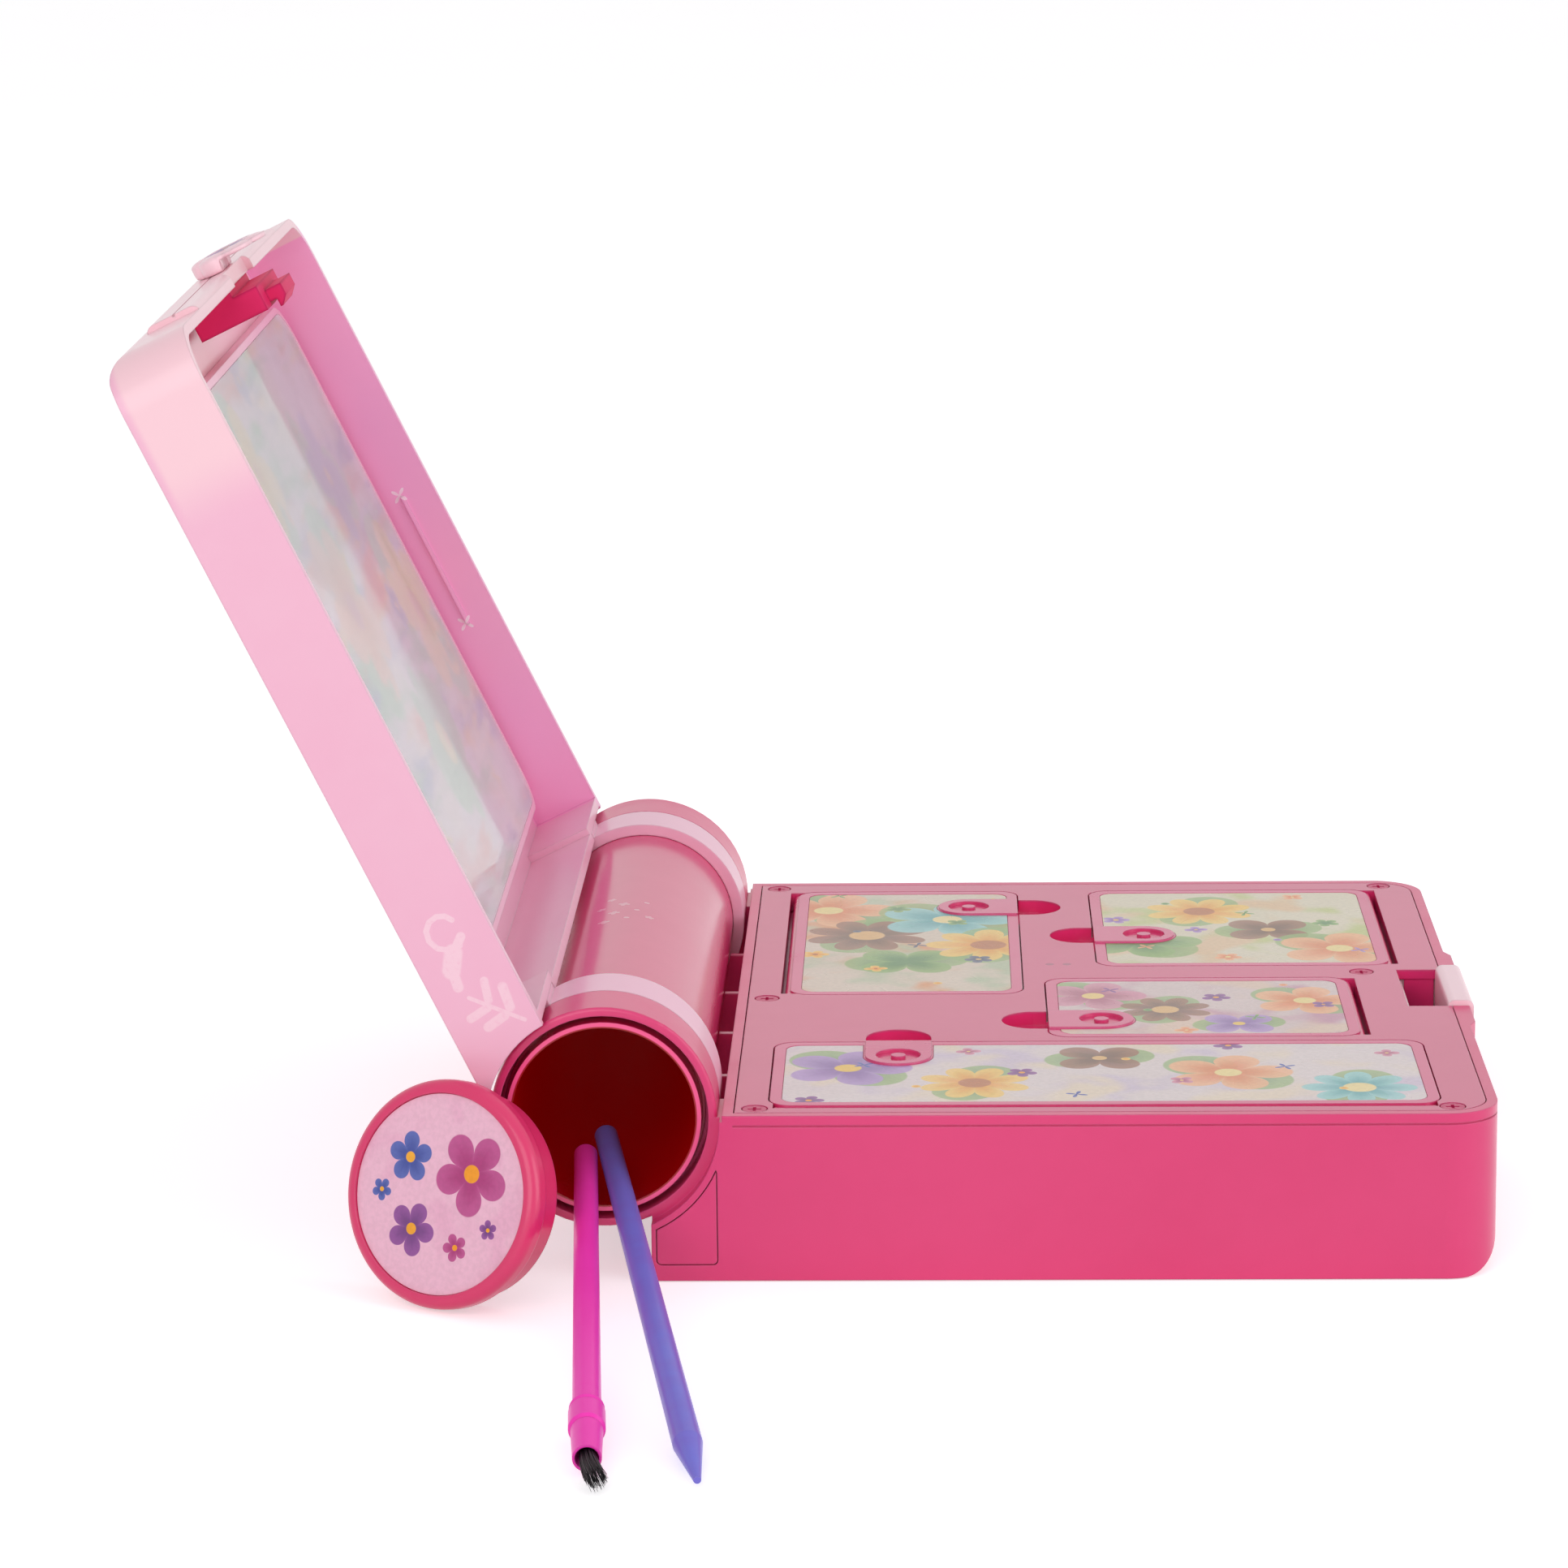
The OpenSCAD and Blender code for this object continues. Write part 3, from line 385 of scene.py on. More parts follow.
plasticLooks = {
    # edge: painted highlight along the edges; on the latch hook a darker painted shade
    "trayPink": {"colour": (226, 58, 120), "deep": (214, 48, 108), "gloss": 0.3, "edge": (240, 110, 160)},
    "deckPink": {
        "colour": (216, 64, 120), "deep": (205, 54, 108), "gloss": 0.24, "edge": (228, 96, 146), "marks": 0.02,
    },
    "flapPink": {"colour": (222, 74, 130), "deep": (210, 60, 116), "gloss": 0.22, "edge": (240, 124, 168)},
    "wellPink": {"colour": (226, 74, 132), "deep": (210, 56, 114), "gloss": 0.34, "edge": (238, 120, 165)},
    "tubePink": {
        "colour": (220, 60, 116), "deep": (204, 44, 100), "gloss": 0.22, "edge": (232, 60, 120), "edgeRadius": 0.35,
        "marks": 0.03,
    },
    "capPink": {"colour": (226, 50, 108), "deep": (206, 38, 92), "gloss": 0.28, "edge": (250, 118, 156)},
    "lidPink": {"colour": (247, 188, 212), "deep": (245, 176, 204), "gloss": 0.32, "edge": (250, 216, 228)},
    "palePink": {"colour": (255, 216, 226), "deep": (254, 204, 218), "gloss": 0.3, "edge": (255, 234, 240)},
    "hookPink": {
        "colour": (232, 44, 108), "deep": (204, 20, 84), "gloss": 0.55, "edge": (190, 24, 92), "edgeRadius": 1.2,
        "coat": 0.0, "shine": 0.2,
    },
    "brushPink": {
        "colour": (252, 64, 190), "deep": (242, 44, 172), "gloss": 0.3, "edge": (254, 120, 206), "coat": 0.0,
        "shine": 0.25,
    },
}
plasticCommon = {
    "drift": 0.35,  # share of the deeper colour
    "marks": 0.08,
    "peel": 0.5,
    "edgeRadius": 0.5,  # millimetres
    "paintedEdgeShare": 0.45,
    "bump": 0.02,
    "bumpDepth": 0.0005,  # metres
    "coat": 0.2,
    "coatGloss": 0.12,
    "shine": 0.45,
}


def mouldedSurface(tree, look):
    surface = useGroup(
        tree, moulding, Colour=tint(*look["colour"]), Deep=tint(*look["deep"]), Drift=look["drift"],
        Gloss=look["gloss"], Marks=look["marks"], Peel=look["peel"],
    )
    return surface, useGroup(tree, softEdge, Radius=look["edgeRadius"] * mm)


def raiseSurface(tree, shader, height, strength, distance, normal=None):
    bump = addNode(tree, "ShaderNodeBump")
    feed(tree, bump, "Strength", strength)
    feed(tree, bump, "Distance", distance)
    feed(tree, bump, "Height", height)
    if normal:
        feed(tree, bump, "Normal", normal)
    feed(tree, shader, "Normal", bump.outputs[0])


def mouldedPlastic(name, finish="", extra=None):  # extra adds print and painted shade, glow and highlights to the colour
    look = plasticCommon | plasticLooks[name]
    material, tree, shader = newMaterial(name + finish)
    surface, edges = mouldedSurface(tree, look)
    # painted highlight along the edges, a darker painted shade on the latch hook
    paintedEdgeShading = calc(tree, "MULTIPLY", edges.outputs["Edge"], look["paintedEdgeShare"])
    colour = mixColour(tree, paintedEdgeShading, surface.outputs["Colour"], tint(*look["edge"]))
    if extra:
        colour = extra(tree, shader, colour)
    feed(tree, shader, "Base Color", colour)
    feed(tree, shader, "Roughness", surface.outputs["Roughness"])
    feed(tree, shader, "Specular IOR Level", look["shine"])
    feed(tree, shader, "Coat Weight", look["coat"])
    feed(tree, shader, "Coat Roughness", look["coatGloss"])
    raiseSurface(
        tree, shader, surface.outputs["Height"], look["bump"], look["bumpDepth"], edges.outputs["Normal"]
    )
    return material


def dress(material, *names):  # gives a finish to CAD nodes and new pieces alike
    for name in names:
        piece = nodes.get(name) or bpy.data.objects[name]
        if piece.material_slots:
            for place in piece.material_slots:
                place.material = material
        else:
            piece.data.materials.append(material)


def objectParts(tree):  # x, y and z in millimetres
    return split(tree, vectorCalc(tree, "MULTIPLY", objectCoords(tree), (1000, 1000, 1000)))


lidHinge = next(joint for joint in frame["joints"] if joint["name"] == "lid_hinge")
spineAxis = Vector(lidHinge["pos_m"])


def aroundSpine(tree):  # across and up from the spine's axis, and along it
    x, y, z = objectParts(tree)
    return calc(tree, "SUBTRACT", x, spineAxis.x / mm), calc(tree, "SUBTRACT", z, spineAxis.z / mm), y


def lidTurn():  # the lid's length, height and near side as x, y and z
    opened = math.radians(-lidHinge["range_deg"][0])
    along = Vector((math.cos(opened), 0, math.sin(opened)))
    above = Vector((-math.sin(opened), 0, math.cos(opened)))
    return Matrix((along, above, along.cross(above))).transposed()


boreLook = {
    # painted shade inside the bore with a painted red glow, a painted highlight on the lip and painted shade round the
    # mouth
    "shade": (150, 4, 10),
    "glow": (190, 0, 0),
    "paintedGlowStrength": 0.1,
    "radius": 20.9,  # millimetres, as are the depths from the tube's mouth
    "lip": (255, 92, 150),
    "lipDepth": 0.5,
    "paintedCollarShade": (196, 0, 70),
    "collarDepth": 9.0,
    "plugSkin": 0.4,  # the plug's outer face keeps the tube's colour
}


def borePaintedShadeAndGlow(tree, shader, colour):  # painted shade and a painted red glow inside the tube, a painted highlight on the mouth's lip and painted shade round the mouth
    look = boreLook
    across, up, y = aroundSpine(tree)
    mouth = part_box("storage_tube")[0].y / mm
    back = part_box("tube_plug")[1].y / mm - look["plugSkin"]
    # painted shade round the tube's mouth
    paintedCollarShade = between(tree, y, mouth + look["collarDepth"], mouth + look["collarDepth"] - 1.0)
    colour = mixColour(tree, paintedCollarShade, colour, tint(*look["paintedCollarShade"]))
    # painted highlight on the lip of the mouth
    lip = between(tree, y, mouth + look["lipDepth"], mouth + look["lipDepth"] - 0.2)
    colour = mixColour(tree, lip, colour, tint(*look["lip"]))
    # painted shade and a painted red glow inside the bore
    squares = calc(tree, "ADD", calc(tree, "MULTIPLY", across, across), calc(tree, "MULTIPLY", up, up))
    inside = between(tree, calc(tree, "SQRT", squares), look["radius"], look["radius"] - 0.3)
    inside = calc(tree, "MULTIPLY", inside, between(tree, y, back, back - 0.4))
    feed(tree, shader, "Emission Color", mixColour(tree, inside, (0, 0, 0, 1), tint(*look["glow"])))
    feed(tree, shader, "Emission Strength", look["paintedGlowStrength"])
    return barrelPrint(tree, mixColour(tree, inside, colour, tint(*look["shade"])))


barrelLook = {
    "angle": 92.0,  # degrees around the tube to the middle of the scatter
    "along": -3.0,  # millimetres, as are the next four
    "width": 14.0,
    "length": 24.0,
    "radius": 22.4,
    "sizes": (1.5, 0.7, 1.2),
    "shapes": ("clover", "dot", "bloom"),
    "count": 9,
    "ink": "frost",
    "strength": 0.3,
}


def barrelPrint(tree, colour):  # faint confetti on the top of the tube
    look = barrelLook
    across, up, y = aroundSpine(tree)
    angle = calc(tree, "SUBTRACT", calc(tree, "ARCTAN2", up, across), math.radians(look["angle"]))
    around, along = calc(tree, "MULTIPLY", angle, look["radius"]), calc(tree, "SUBTRACT", y, look["along"])
    wrap = combine(tree, around, along)
    for step, (down, over) in enumerate(goldenScatter(look["count"], look["length"], look["width"], 0.3)):
        shape, size = look["shapes"][step % 3], look["sizes"][step % 3]
        colour = stamp(tree, colour, wrap, over, down, size, step, shape, look["ink"], look["strength"])
    return colour


lidPrintLook = {
    "ink": (254, 216, 228),
    "strength": 0.75,
    "curl": (54.5, 11.3, 4.9, 1.5),  # place along and above the hinge, radius and stroke
    "curlTurn": (200, -33, 8),  # degrees to start from and for each step, and steps
    "curlTightens": 0.05,
    "strokes": (  # leaf and sprig: both ends and the width
        ((51.6, 8.6), (48.6, 12.2), 2.4), ((49.0, 11.8), (45.6, 14.0), 4.8), ((45.8, 13.8), (41.6, 14.4), 2.8),
        ((28.6, 4.6), (38.4, 13.4), 1.1), ((31.4, 8.2), (30.6, 12.6), 2.6), ((34.6, 10.8), (34.0, 15.2), 2.3),
        ((32.6, 6.2), (37.4, 5.6), 2.6), ((36.0, 9.8), (40.4, 8.6), 2.2),
    ),
    # painted glints at the far rib
    "glints": (84.5, 121.5),
    "glintHeight": 10.6,
    "glintSize": 2.3,
    "paintedBounceLight": (255, 168, 216),
    "innerFrom": 5.0,  # painted bounce light between these two distances from the far side
    "innerTo": 1.0,
    "paleEndHighlight": (255, 214, 220),
    "paleFrom": 156.0,  # the walls get paler over this length, a painted highlight
    "paleTo": 171.0,
}


def lidPrintAndPaintedLight(tree, shader, colour):  # pale printed marks on the near wall; painted light: paler wall ends, painted bounce light on the far wall, painted glints at the far rib
    look = lidPrintLook
    coords = flatCoords(tree, spineAxis, lidTurn().to_euler())
    y = objectParts(tree)[1]
    low, high = (corner.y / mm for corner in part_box("lid_shell"))
    along, above, _ = split(tree, coords)
    toLid = lidTurn().inverted()
    roof = max((toLid @ (vertex.co - spineAxis)).y for vertex in nodes["lid_shell"].data.vertices) / mm
    # painted highlight: the walls get paler toward the free end
    walls = between(tree, above, roof - 0.6, roof - 2.5)
    end = between(tree, along, look["paleFrom"], look["paleTo"], 0.0, 0.75)
    colour = mixColour(tree, calc(tree, "MULTIPLY", walls, end), colour, tint(*look["paleEndHighlight"]))

    startAlong, startAbove, radius, width = look["curl"]
    begin, turn, steps = look["curlTurn"]
    spots = []
    for step in range(steps + 1):
        angle, reach = math.radians(begin + turn * step), radius * (1 - look["curlTightens"] * step)
        spots.append((startAlong + reach * math.cos(angle), startAbove + reach * math.sin(angle)))
    strokes = [(one, two, width) for one, two in zip(spots, spots[1:])] + list(look["strokes"])
    whole = 0.0
    for one, two, wide in strokes:
        node = useGroup(tree, stroke, Coords=coords, From=(*one, 0), To=(*two, 0), Width=wide)
        whole = calc(tree, "MAXIMUM", whole, node.outputs["Mask"])
    near = between(tree, y, low + 0.5, low + 0.2)
    worn = between(tree, noise(tree, coords, 0.9, 3.0), 0.25, 0.5, 0.55, 1.0)
    printed = calc(tree, "MULTIPLY", calc(tree, "MULTIPLY", whole, near), worn)
    colour = mixColour(tree, calc(tree, "MULTIPLY", printed, look["strength"]), colour, tint(*look["ink"]))

    # painted bounce light on the inner face of the far wall
    far = between(tree, y, high - look["innerFrom"], high - look["innerFrom"] + 0.5)
    inner = calc(tree, "MULTIPLY", far, between(tree, y, high - look["innerTo"], high - look["innerTo"] - 0.5))
    colour = mixColour(tree, calc(tree, "MULTIPLY", inner, 0.9), colour, tint(*look["paintedBounceLight"]))
    # painted glints at the far rib
    for spot in look["glints"]:
        glint = stamp(tree, colour, coords, spot, look["glintHeight"], look["glintSize"], 0.9, "spark", "frost", 0.7)
        colour = mixColour(tree, far, colour, glint)
    return colour


recessLook = {  # shade where a face is cut in
    "deck_plate": (230, 52, 118),
    "flap_front": (222, 58, 118),
    "depth": 0.35,
    "fade": 0.25,
}


def recessShade(tree, name, colour):
    z = objectParts(tree)[2]
    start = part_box(name)[1].z / mm - recessLook["depth"]
    return mixColour(tree, between(tree, z, start, start - recessLook["fade"]), colour, tint(*recessLook[name]))


deckDots = {"across": (-10.8, -6.6), "along": 23.9, "radius": 1.1, "ink": "wine", "strength": 0.8}  # millimetres


def deckFace(tree, shader, colour):
    colour = recessShade(tree, "deck_plate", colour)
    coords = flatCoords(tree, Vector((0, 0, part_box("deck_plate")[1].z)), (0, 0, 0))
    y, radius, ink, strength = (deckDots[key] for key in ("along", "radius", "ink", "strength"))
    for x in deckDots["across"]:
        colour = stamp(tree, colour, coords, x, y, radius, 0, "dot", ink, strength)
    return colour


def flapFace(tree, shader, colour):
    return recessShade(tree, "flap_front", colour)


# printed labels: each design is a scatter worked out from a few numbers

inks = {
    "lilac": ((148, 104, 178), (186, 150, 210), (250, 205, 90)),
    "sun": ((244, 168, 60), (250, 208, 110), (196, 110, 50)),
    "peach": ((236, 138, 84), (248, 186, 140), (250, 225, 150)),
    "sea": ((92, 172, 178), (158, 212, 212), (250, 226, 160)),
    "leaf": ((96, 142, 84), (150, 182, 110), (96, 142, 84)),
    "earth": ((122, 78, 62), (160, 108, 84), (236, 186, 120)),
    "rose": ((188, 92, 128), (222, 148, 172), (250, 214, 130)),
    "ink": ((78, 84, 108), (110, 116, 138), (230, 190, 120)),
    "plum": ((120, 62, 132), (150, 82, 156), (248, 168, 40)),
    "berry": ((176, 54, 122), (196, 84, 146), (250, 160, 30)),
    "night": ((66, 80, 160), (92, 106, 182), (250, 176, 50)),
    "mint": ((132, 204, 160), (170, 224, 186), (240, 226, 150)),
    "straw": ((246, 216, 110), (250, 230, 160), (244, 180, 140)),
    "mist": ((130, 148, 208), (170, 184, 226), (246, 214, 160)),
    "blush": ((246, 176, 140), (250, 204, 176), (238, 150, 178)),
    "frost": ((252, 226, 236), (254, 238, 244), (252, 226, 236)),
    "wine": ((150, 34, 84), (166, 44, 96), (150, 34, 84)),
}
shapes = {  # petals, notch, fullness, eye size
    "bloom": (5, 0.55, 0.55, 0.22),
    "daisy": (8, 0.42, 0.7, 0.3),
    "leaves": (2, 0.86, 1.3, 0.0),
    "clover": (4, 0.6, 0.7, 0.16),
    "spark": (4, 0.9, 3.0, 0.0),
    "dot": (1, 0.0, 1.0, 0.0),
}


def flatCoords(tree, centre, turn):  # millimetres on a label's own plane
    place = addNode(tree, "ShaderNodeMapping", vector_type="TEXTURE")
    feed(tree, place, "Vector", objectCoords(tree))
    feed(tree, place, "Location", centre)
    feed(tree, place, "Rotation", turn)
    feed(tree, place, "Scale", (mm, mm, mm))
    return place.outputs[0]


def stamp(tree, ground, coords, x, y, size, turn, shape, ink, strength=1.0):
    petals, notch, fullness, eyeSize = shapes[shape]
    inner, outer, eye = (tint(*colour) for colour in inks[ink])
    node = useGroup(
        tree, motif, Ground=ground, Coords=coords, Place=(x, y, 0), Size=size, Turn=turn, Petals=petals,
        Notch=notch, Fullness=fullness, Inner=inner, Outer=outer, Eye=eye, Ink=strength,
    )
    feed(tree, node, "Eye Size", eyeSize)
    return node.outputs["Colour"]


def washGround(tree, coords, colours, scale):  # soft watercolour ground
    ground = tint(*colours[0])
    for step, colour in enumerate(colours[1:]):
        shifted = vectorCalc(tree, "ADD", coords, (37.0 * step, 11.0 * step, 0))
        patch = between(tree, noise(tree, shifted, scale, 2.0), 0.5, 0.66)
        ground = mixColour(tree, patch, ground, tint(*colour))
    return ground


def goldenScatter(count, width, height, shift):  # even places over a rectangle
    for step in range(count):
        across = (0.5 + shift + step * 0.6180) % 1 - 0.5
        along = (step + 0.5) / count - 0.5
        yield along * width, across * height


printCommon = {  # large flowers over leaves, then small ones between them
    "shrink": 0.12,  # from one large flower to the next
    "leafSize": 1.15,
    "leafTurn": (0.9, 1.0),  # to start from and for each step
    "leafInk": "leaf",
    "leafStrength": 0.8,
    "largeShapes": ("bloom", "daisy", "clover"),
    "largeTurn": 0.4,
    "largeStrength": 0.92,
    "smallShapes": ("bloom", "spark", "dot", "clover"),
    "smallSizes": (3.6, 2.6, 1.1, 3.0),  # millimetres
    "smallShift": 0.4,
    "smallStrength": 1.0,
    "washScale": 0.045,
}
labelLooks = {
    "label_front": {
        "ground": ((228, 214, 214), (214, 198, 216), (234, 216, 196)),
        "large": ("lilac", "sun", "earth", "peach", "sea"),
        "largeSize": 15.0,
        "small": ("plum", "night", "sun", "rose"),
        "smallCount": 12,
        "shift": 0.13,
    },
    "label_middle": {
        "ground": ((222, 202, 200), (204, 150, 172), (228, 200, 182)),
        "large": ("rose", "earth", "lilac", "peach"),
        "largeSize": 13.0,
        "small": ("peach", "plum", "leaf"),
        "smallCount": 8,
        "shift": 0.31,
    },
    "label_back_left": {
        "ground": ((224, 208, 190), (228, 160, 106), (190, 200, 168)),
        "large": ("peach", "earth", "leaf", "sea", "sun"),
        "largeSize": 18.0,
        "small": ("sun", "leaf", "ink"),
        "smallCount": 10,
        "shift": 0.47,
    },
    "label_back_right": {
        "ground": ((226, 216, 192), (200, 206, 136), (230, 198, 160)),
        "large": ("leaf", "sun", "earth", "peach"),
        "largeSize": 16.0,
        "small": ("lilac", "peach", "leaf"),
        "smallCount": 10,
        "shift": 0.71,
    },
}


def scatterFlowers(tree, colour, coords, look, largeArea, smallArea):
    firstTurn, nextTurn = look["leafTurn"]
    large, small = look["large"], look["small"]
    for step, (x, y) in enumerate(goldenScatter(len(large), *largeArea, look["shift"])):
        size, turn = look["largeSize"] * (1 - look["shrink"] * (step % 3)), firstTurn + nextTurn * step
        leafSize = size * look["leafSize"]
        colour = stamp(tree, colour, coords, x, y, leafSize, turn, "leaves", look["leafInk"], look["leafStrength"])
        shape, turn = look["largeShapes"][step % 3], look["largeTurn"] * step
        colour = stamp(tree, colour, coords, x, y, size, turn, shape, large[step], look["largeStrength"])
    for step, (x, y) in enumerate(goldenScatter(look["smallCount"], *smallArea, look["shift"] + look["smallShift"])):
        shape, size = look["smallShapes"][step % 4], look["smallSizes"][step % 4]
        ink = small[step % len(small)]
        colour = stamp(tree, colour, coords, x, y, size, step, shape, ink, look["smallStrength"])
    return colour


def flapLabel(name):
    look = printCommon | labelLooks[name]
    low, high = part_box(name)
    width, height = (high.x - low.x) / mm, (high.y - low.y) / mm
    material, tree, shader = newMaterial(name + ".print")
    coords = flatCoords(tree, (low + high) / 2, (0, 0, 0))
    colour = washGround(tree, coords, look["ground"], look["washScale"])
    colour = scatterFlowers(tree, colour, coords, look, (width, height * 0.7), (width, height))
    return laminated(material, tree, shader, colour)


filmLook = {
    "grain": (0.94, 1.02),  # brightness, from dark to light
    "gloss": (0.26, 0.36),
    "ripple": 0.05,
    "rippleDepth": 0.0004,  # metres
}


def laminated(material, tree, shader, colour):  # film over the print, with faint paper grain
    coords = objectCoords(tree)
    grain = between(tree, noise(tree, coords, 900.0), 0.3, 0.7, *filmLook["grain"])
    shade = addNode(tree, "ShaderNodeHueSaturation")
    feed(tree, shade, "Color", colour)
    feed(tree, shade, "Value", grain)
    feed(tree, shader, "Base Color", shade.outputs[0])
    feed(tree, shader, "Roughness", between(tree, noise(tree, coords, 40.0, 3.0), 0.3, 0.8, *filmLook["gloss"]))
    raiseSurface(tree, shader, noise(tree, coords, 60.0), filmLook["ripple"], filmLook["rippleDepth"])
    return material


def planeOf(name):  # centre and turn of a thin disc or slab that lies at a slant
    mesh = nodes[name].data
    points = [vertex.co for vertex in mesh.vertices]
    centre = sum(points, Vector()) / len(points)
    best = max(mesh.polygons, key=lambda face: face.area)
    normal = best.normal.normalized()
    if normal.y > 0.5 or normal.z < -0.5:
        normal = -normal
    across = Vector((0, 0, 1)).cross(normal).normalized()
    turn = Matrix((across, normal.cross(across), normal)).transposed()
    return centre, turn


capDesign = (  # x, y and size in millimetres, turn, shape, ink
    (7.5, 5.5, 9.6, 0.3, "bloom", "berry"),
    (-9.0, 7.0, 5.8, 0.9, "bloom", "night"),
    (-6.5, -8.5, 6.2, 0.1, "bloom", "plum"),
    (5.5, -11.0, 3.2, 0.5, "bloom", "berry"),
    (-15.5, -1.0, 2.6, 0.2, "bloom", "night"),
    (13.5, -6.0, 2.3, 0.8, "bloom", "plum"),
)


def flatPrint(name, materialName, ground, scale):  # a washed ground on a slanted label
    material, tree, shader = newMaterial(materialName)
    centre, turn = planeOf(name)
    coords = flatCoords(tree, centre, turn.to_euler())
    return material, tree, shader, coords, washGround(tree, coords, ground, scale)


def capPrint():
    ground = ((244, 190, 212), (240, 180, 206))
    material, tree, shader, coords, colour = flatPrint("cap_label", "capPrint", ground, 0.08)
    for x, y, size, angle, shape, ink in capDesign:
        colour = stamp(tree, colour, coords, x, y, size, angle, shape, ink)
    return laminated(material, tree, shader, colour)


def claspPrint():
    ground = ((240, 196, 220), (230, 176, 208))
    material, tree, shader, coords, colour = flatPrint("clasp_label", "claspPrint", ground, 0.1)
    colour = stamp(tree, colour, coords, 0, 0, 5.2, 0.2, "bloom", "plum")
    return laminated(material, tree, shader, colour)


cardLook = {
    "ground": ((242, 230, 242), (244, 236, 244), (236, 222, 238), (244, 234, 228)),
    "large": ("mint", "mist", "straw", "blush", "mint", "mist", "straw"),
    "largeSize": 25.0,  # millimetres, as are the other sizes and the areas
    "largeArea": (190, 110),
    "largeTurn": 1.0,
    "largeStrength": 0.95,
    "shrink": 0.14,
    "shift": 0.2,
    "leafSize": 1.2,
    "leafTurn": (0.0, 0.7),
    "leafInk": "mint",
    "leafStrength": 0.95,
    "small": ("mist", "straw", "blush", "mint"),
    "smallCount": 16,
    "smallSizes": (7.0, 5.0, 2.4, 6.0),
    "smallArea": (196, 134),
    "smallShift": 0.35,
    "smallStrength": 0.9,
    "washes": ((92, 202, 140), (255, 202, 76), (104, 128, 212), (250, 146, 126)),
    "washSize": (0.015, 0.075, 1.0),  # waves per millimetre across and along the lid
    "washStrength": 0.85,
    "washScale": 0.02,
}


def cardPrint():
    look = printCommon | cardLook
    material, tree, shader, coords, colour = flatPrint("picture_card", "cardPrint", look["ground"], look["washScale"])
    stretched = vectorCalc(tree, "MULTIPLY", coords, look["washSize"])
    for step, wash in enumerate(look["washes"]):  # soft sideways washes
        place = vectorCalc(tree, "ADD", stretched, (3.1 * step + 1.7, 5.3 * step, 0))
        cover = between(tree, noise(tree, place, 1.0, 3.0, 0.6), 0.52, 0.68, 0.0, look["washStrength"])
        colour = mixColour(tree, cover, colour, tint(*wash))
    colour = scatterFlowers(tree, colour, coords, look, look["largeArea"], look["smallArea"])
    return laminated(material, tree, shader, colour)


sheetLook = {
    "colours": ((254, 248, 254), (250, 242, 252)),  # clear and hazed
    "gloss": (0.04, 0.12),
    "haze": (0.95, 1.1),
    "veil": (0.14, 0.52),  # how much it hides straight on and at a low angle; the rise toward the low angle is a painted reflection
    "index": 1.49,
    "wave": 0.02,
    "waveDepth": 0.001,  # metres
}


def clearSheet():
    look = sheetLook
    material, tree, shader = newMaterial("clearSheet")
    coords = objectCoords(tree)
    haze = between(tree, noise(tree, coords, 24.0, 3.0), 0.3, 0.8)
    clear, hazed = (tint(*colour) for colour in look["colours"])
    feed(tree, shader, "Base Color", mixColour(tree, haze, clear, hazed))
    feed(tree, shader, "Roughness", between(tree, haze, 0, 1, *look["gloss"]))
    feed(tree, shader, "IOR", look["index"])
    path = addNode(tree, "ShaderNodeLightPath")
    solid = calc(tree, "SUBTRACT", 1.0, path.outputs["Is Shadow Ray"])
    slant = addNode(tree, "ShaderNodeLayerWeight")  # the sheet whitens at a low angle: haze, and a painted reflection
    feed(tree, slant, "Blend", 0.5)
    veil = between(tree, slant.outputs["Facing"], 0.3, 0.8, *look["veil"])
    veil = calc(tree, "MULTIPLY", veil, mixNumber(tree, haze, *look["haze"]))
    feed(tree, shader, "Alpha", calc(tree, "MULTIPLY", solid, veil))
    raiseSurface(tree, shader, noise(tree, coords, 14.0), look["wave"], look["waveDepth"])
    return material


violetLook = {
    "colour": (120, 120, 220),
    "deep": (130, 94, 196),
    "edge": (156, 150, 228),
    "edgeRadius": 0.3,  # millimetres
    "drift": 0.7,
    "gloss": 0.28,
    "marks": 0.1,
    "peel": 0.4,
    "shine": 0.22,
}


def violetPlastic():
    look = violetLook
    material, tree, shader = newMaterial("violetPlastic")
    surface, edges = mouldedSurface(tree, look)
    # painted highlight along the edges
    colour = mixColour(tree, edges.outputs["Edge"], surface.outputs["Colour"], tint(*look["edge"]))
    feed(tree, shader, "Base Color", colour)
    feed(tree, shader, "Roughness", surface.outputs["Roughness"])
    feed(tree, shader, "Specular IOR Level", look["shine"])
    feed(tree, shader, "Normal", edges.outputs["Normal"])
    return material


fineLooks = {  # two colours, grain size, metal and roughness, each from low to high
    "screwMetal": {
        "colours": ((214, 50, 112), (184, 34, 92)), "grain": 1400.0, "metal": (0.08, 0.2), "gloss": (0.3, 0.45),
    },
    "springSteel": {"colours": ((196, 198, 204), (150, 152, 160)), "grain": 900.0, "metal": 1.0, "gloss": (0.22, 0.4)},
    "bristleHair": {"colours": ((8, 7, 9), (26, 24, 28)), "grain": 2600.0, "metal": 0.0, "gloss": (0.35, 0.55)},
}


def fineGrained(name):  # turned or drawn metal, and hair
    look = fineLooks[name]
    material, tree, shader = newMaterial(name)
    grain = noise(tree, objectCoords(tree), look["grain"], 2.0)
    first, last = (tint(*colour) for colour in look["colours"])
    feed(tree, shader, "Base Color", mixColour(tree, grain, first, last))
    metal = look["metal"]
    feed(tree, shader, "Metallic", between(tree, grain, 0.2, 0.8, *metal) if isinstance(metal, tuple) else metal)
    feed(tree, shader, "Roughness", between(tree, grain, 0.2, 0.8, *look["gloss"]))
    return material


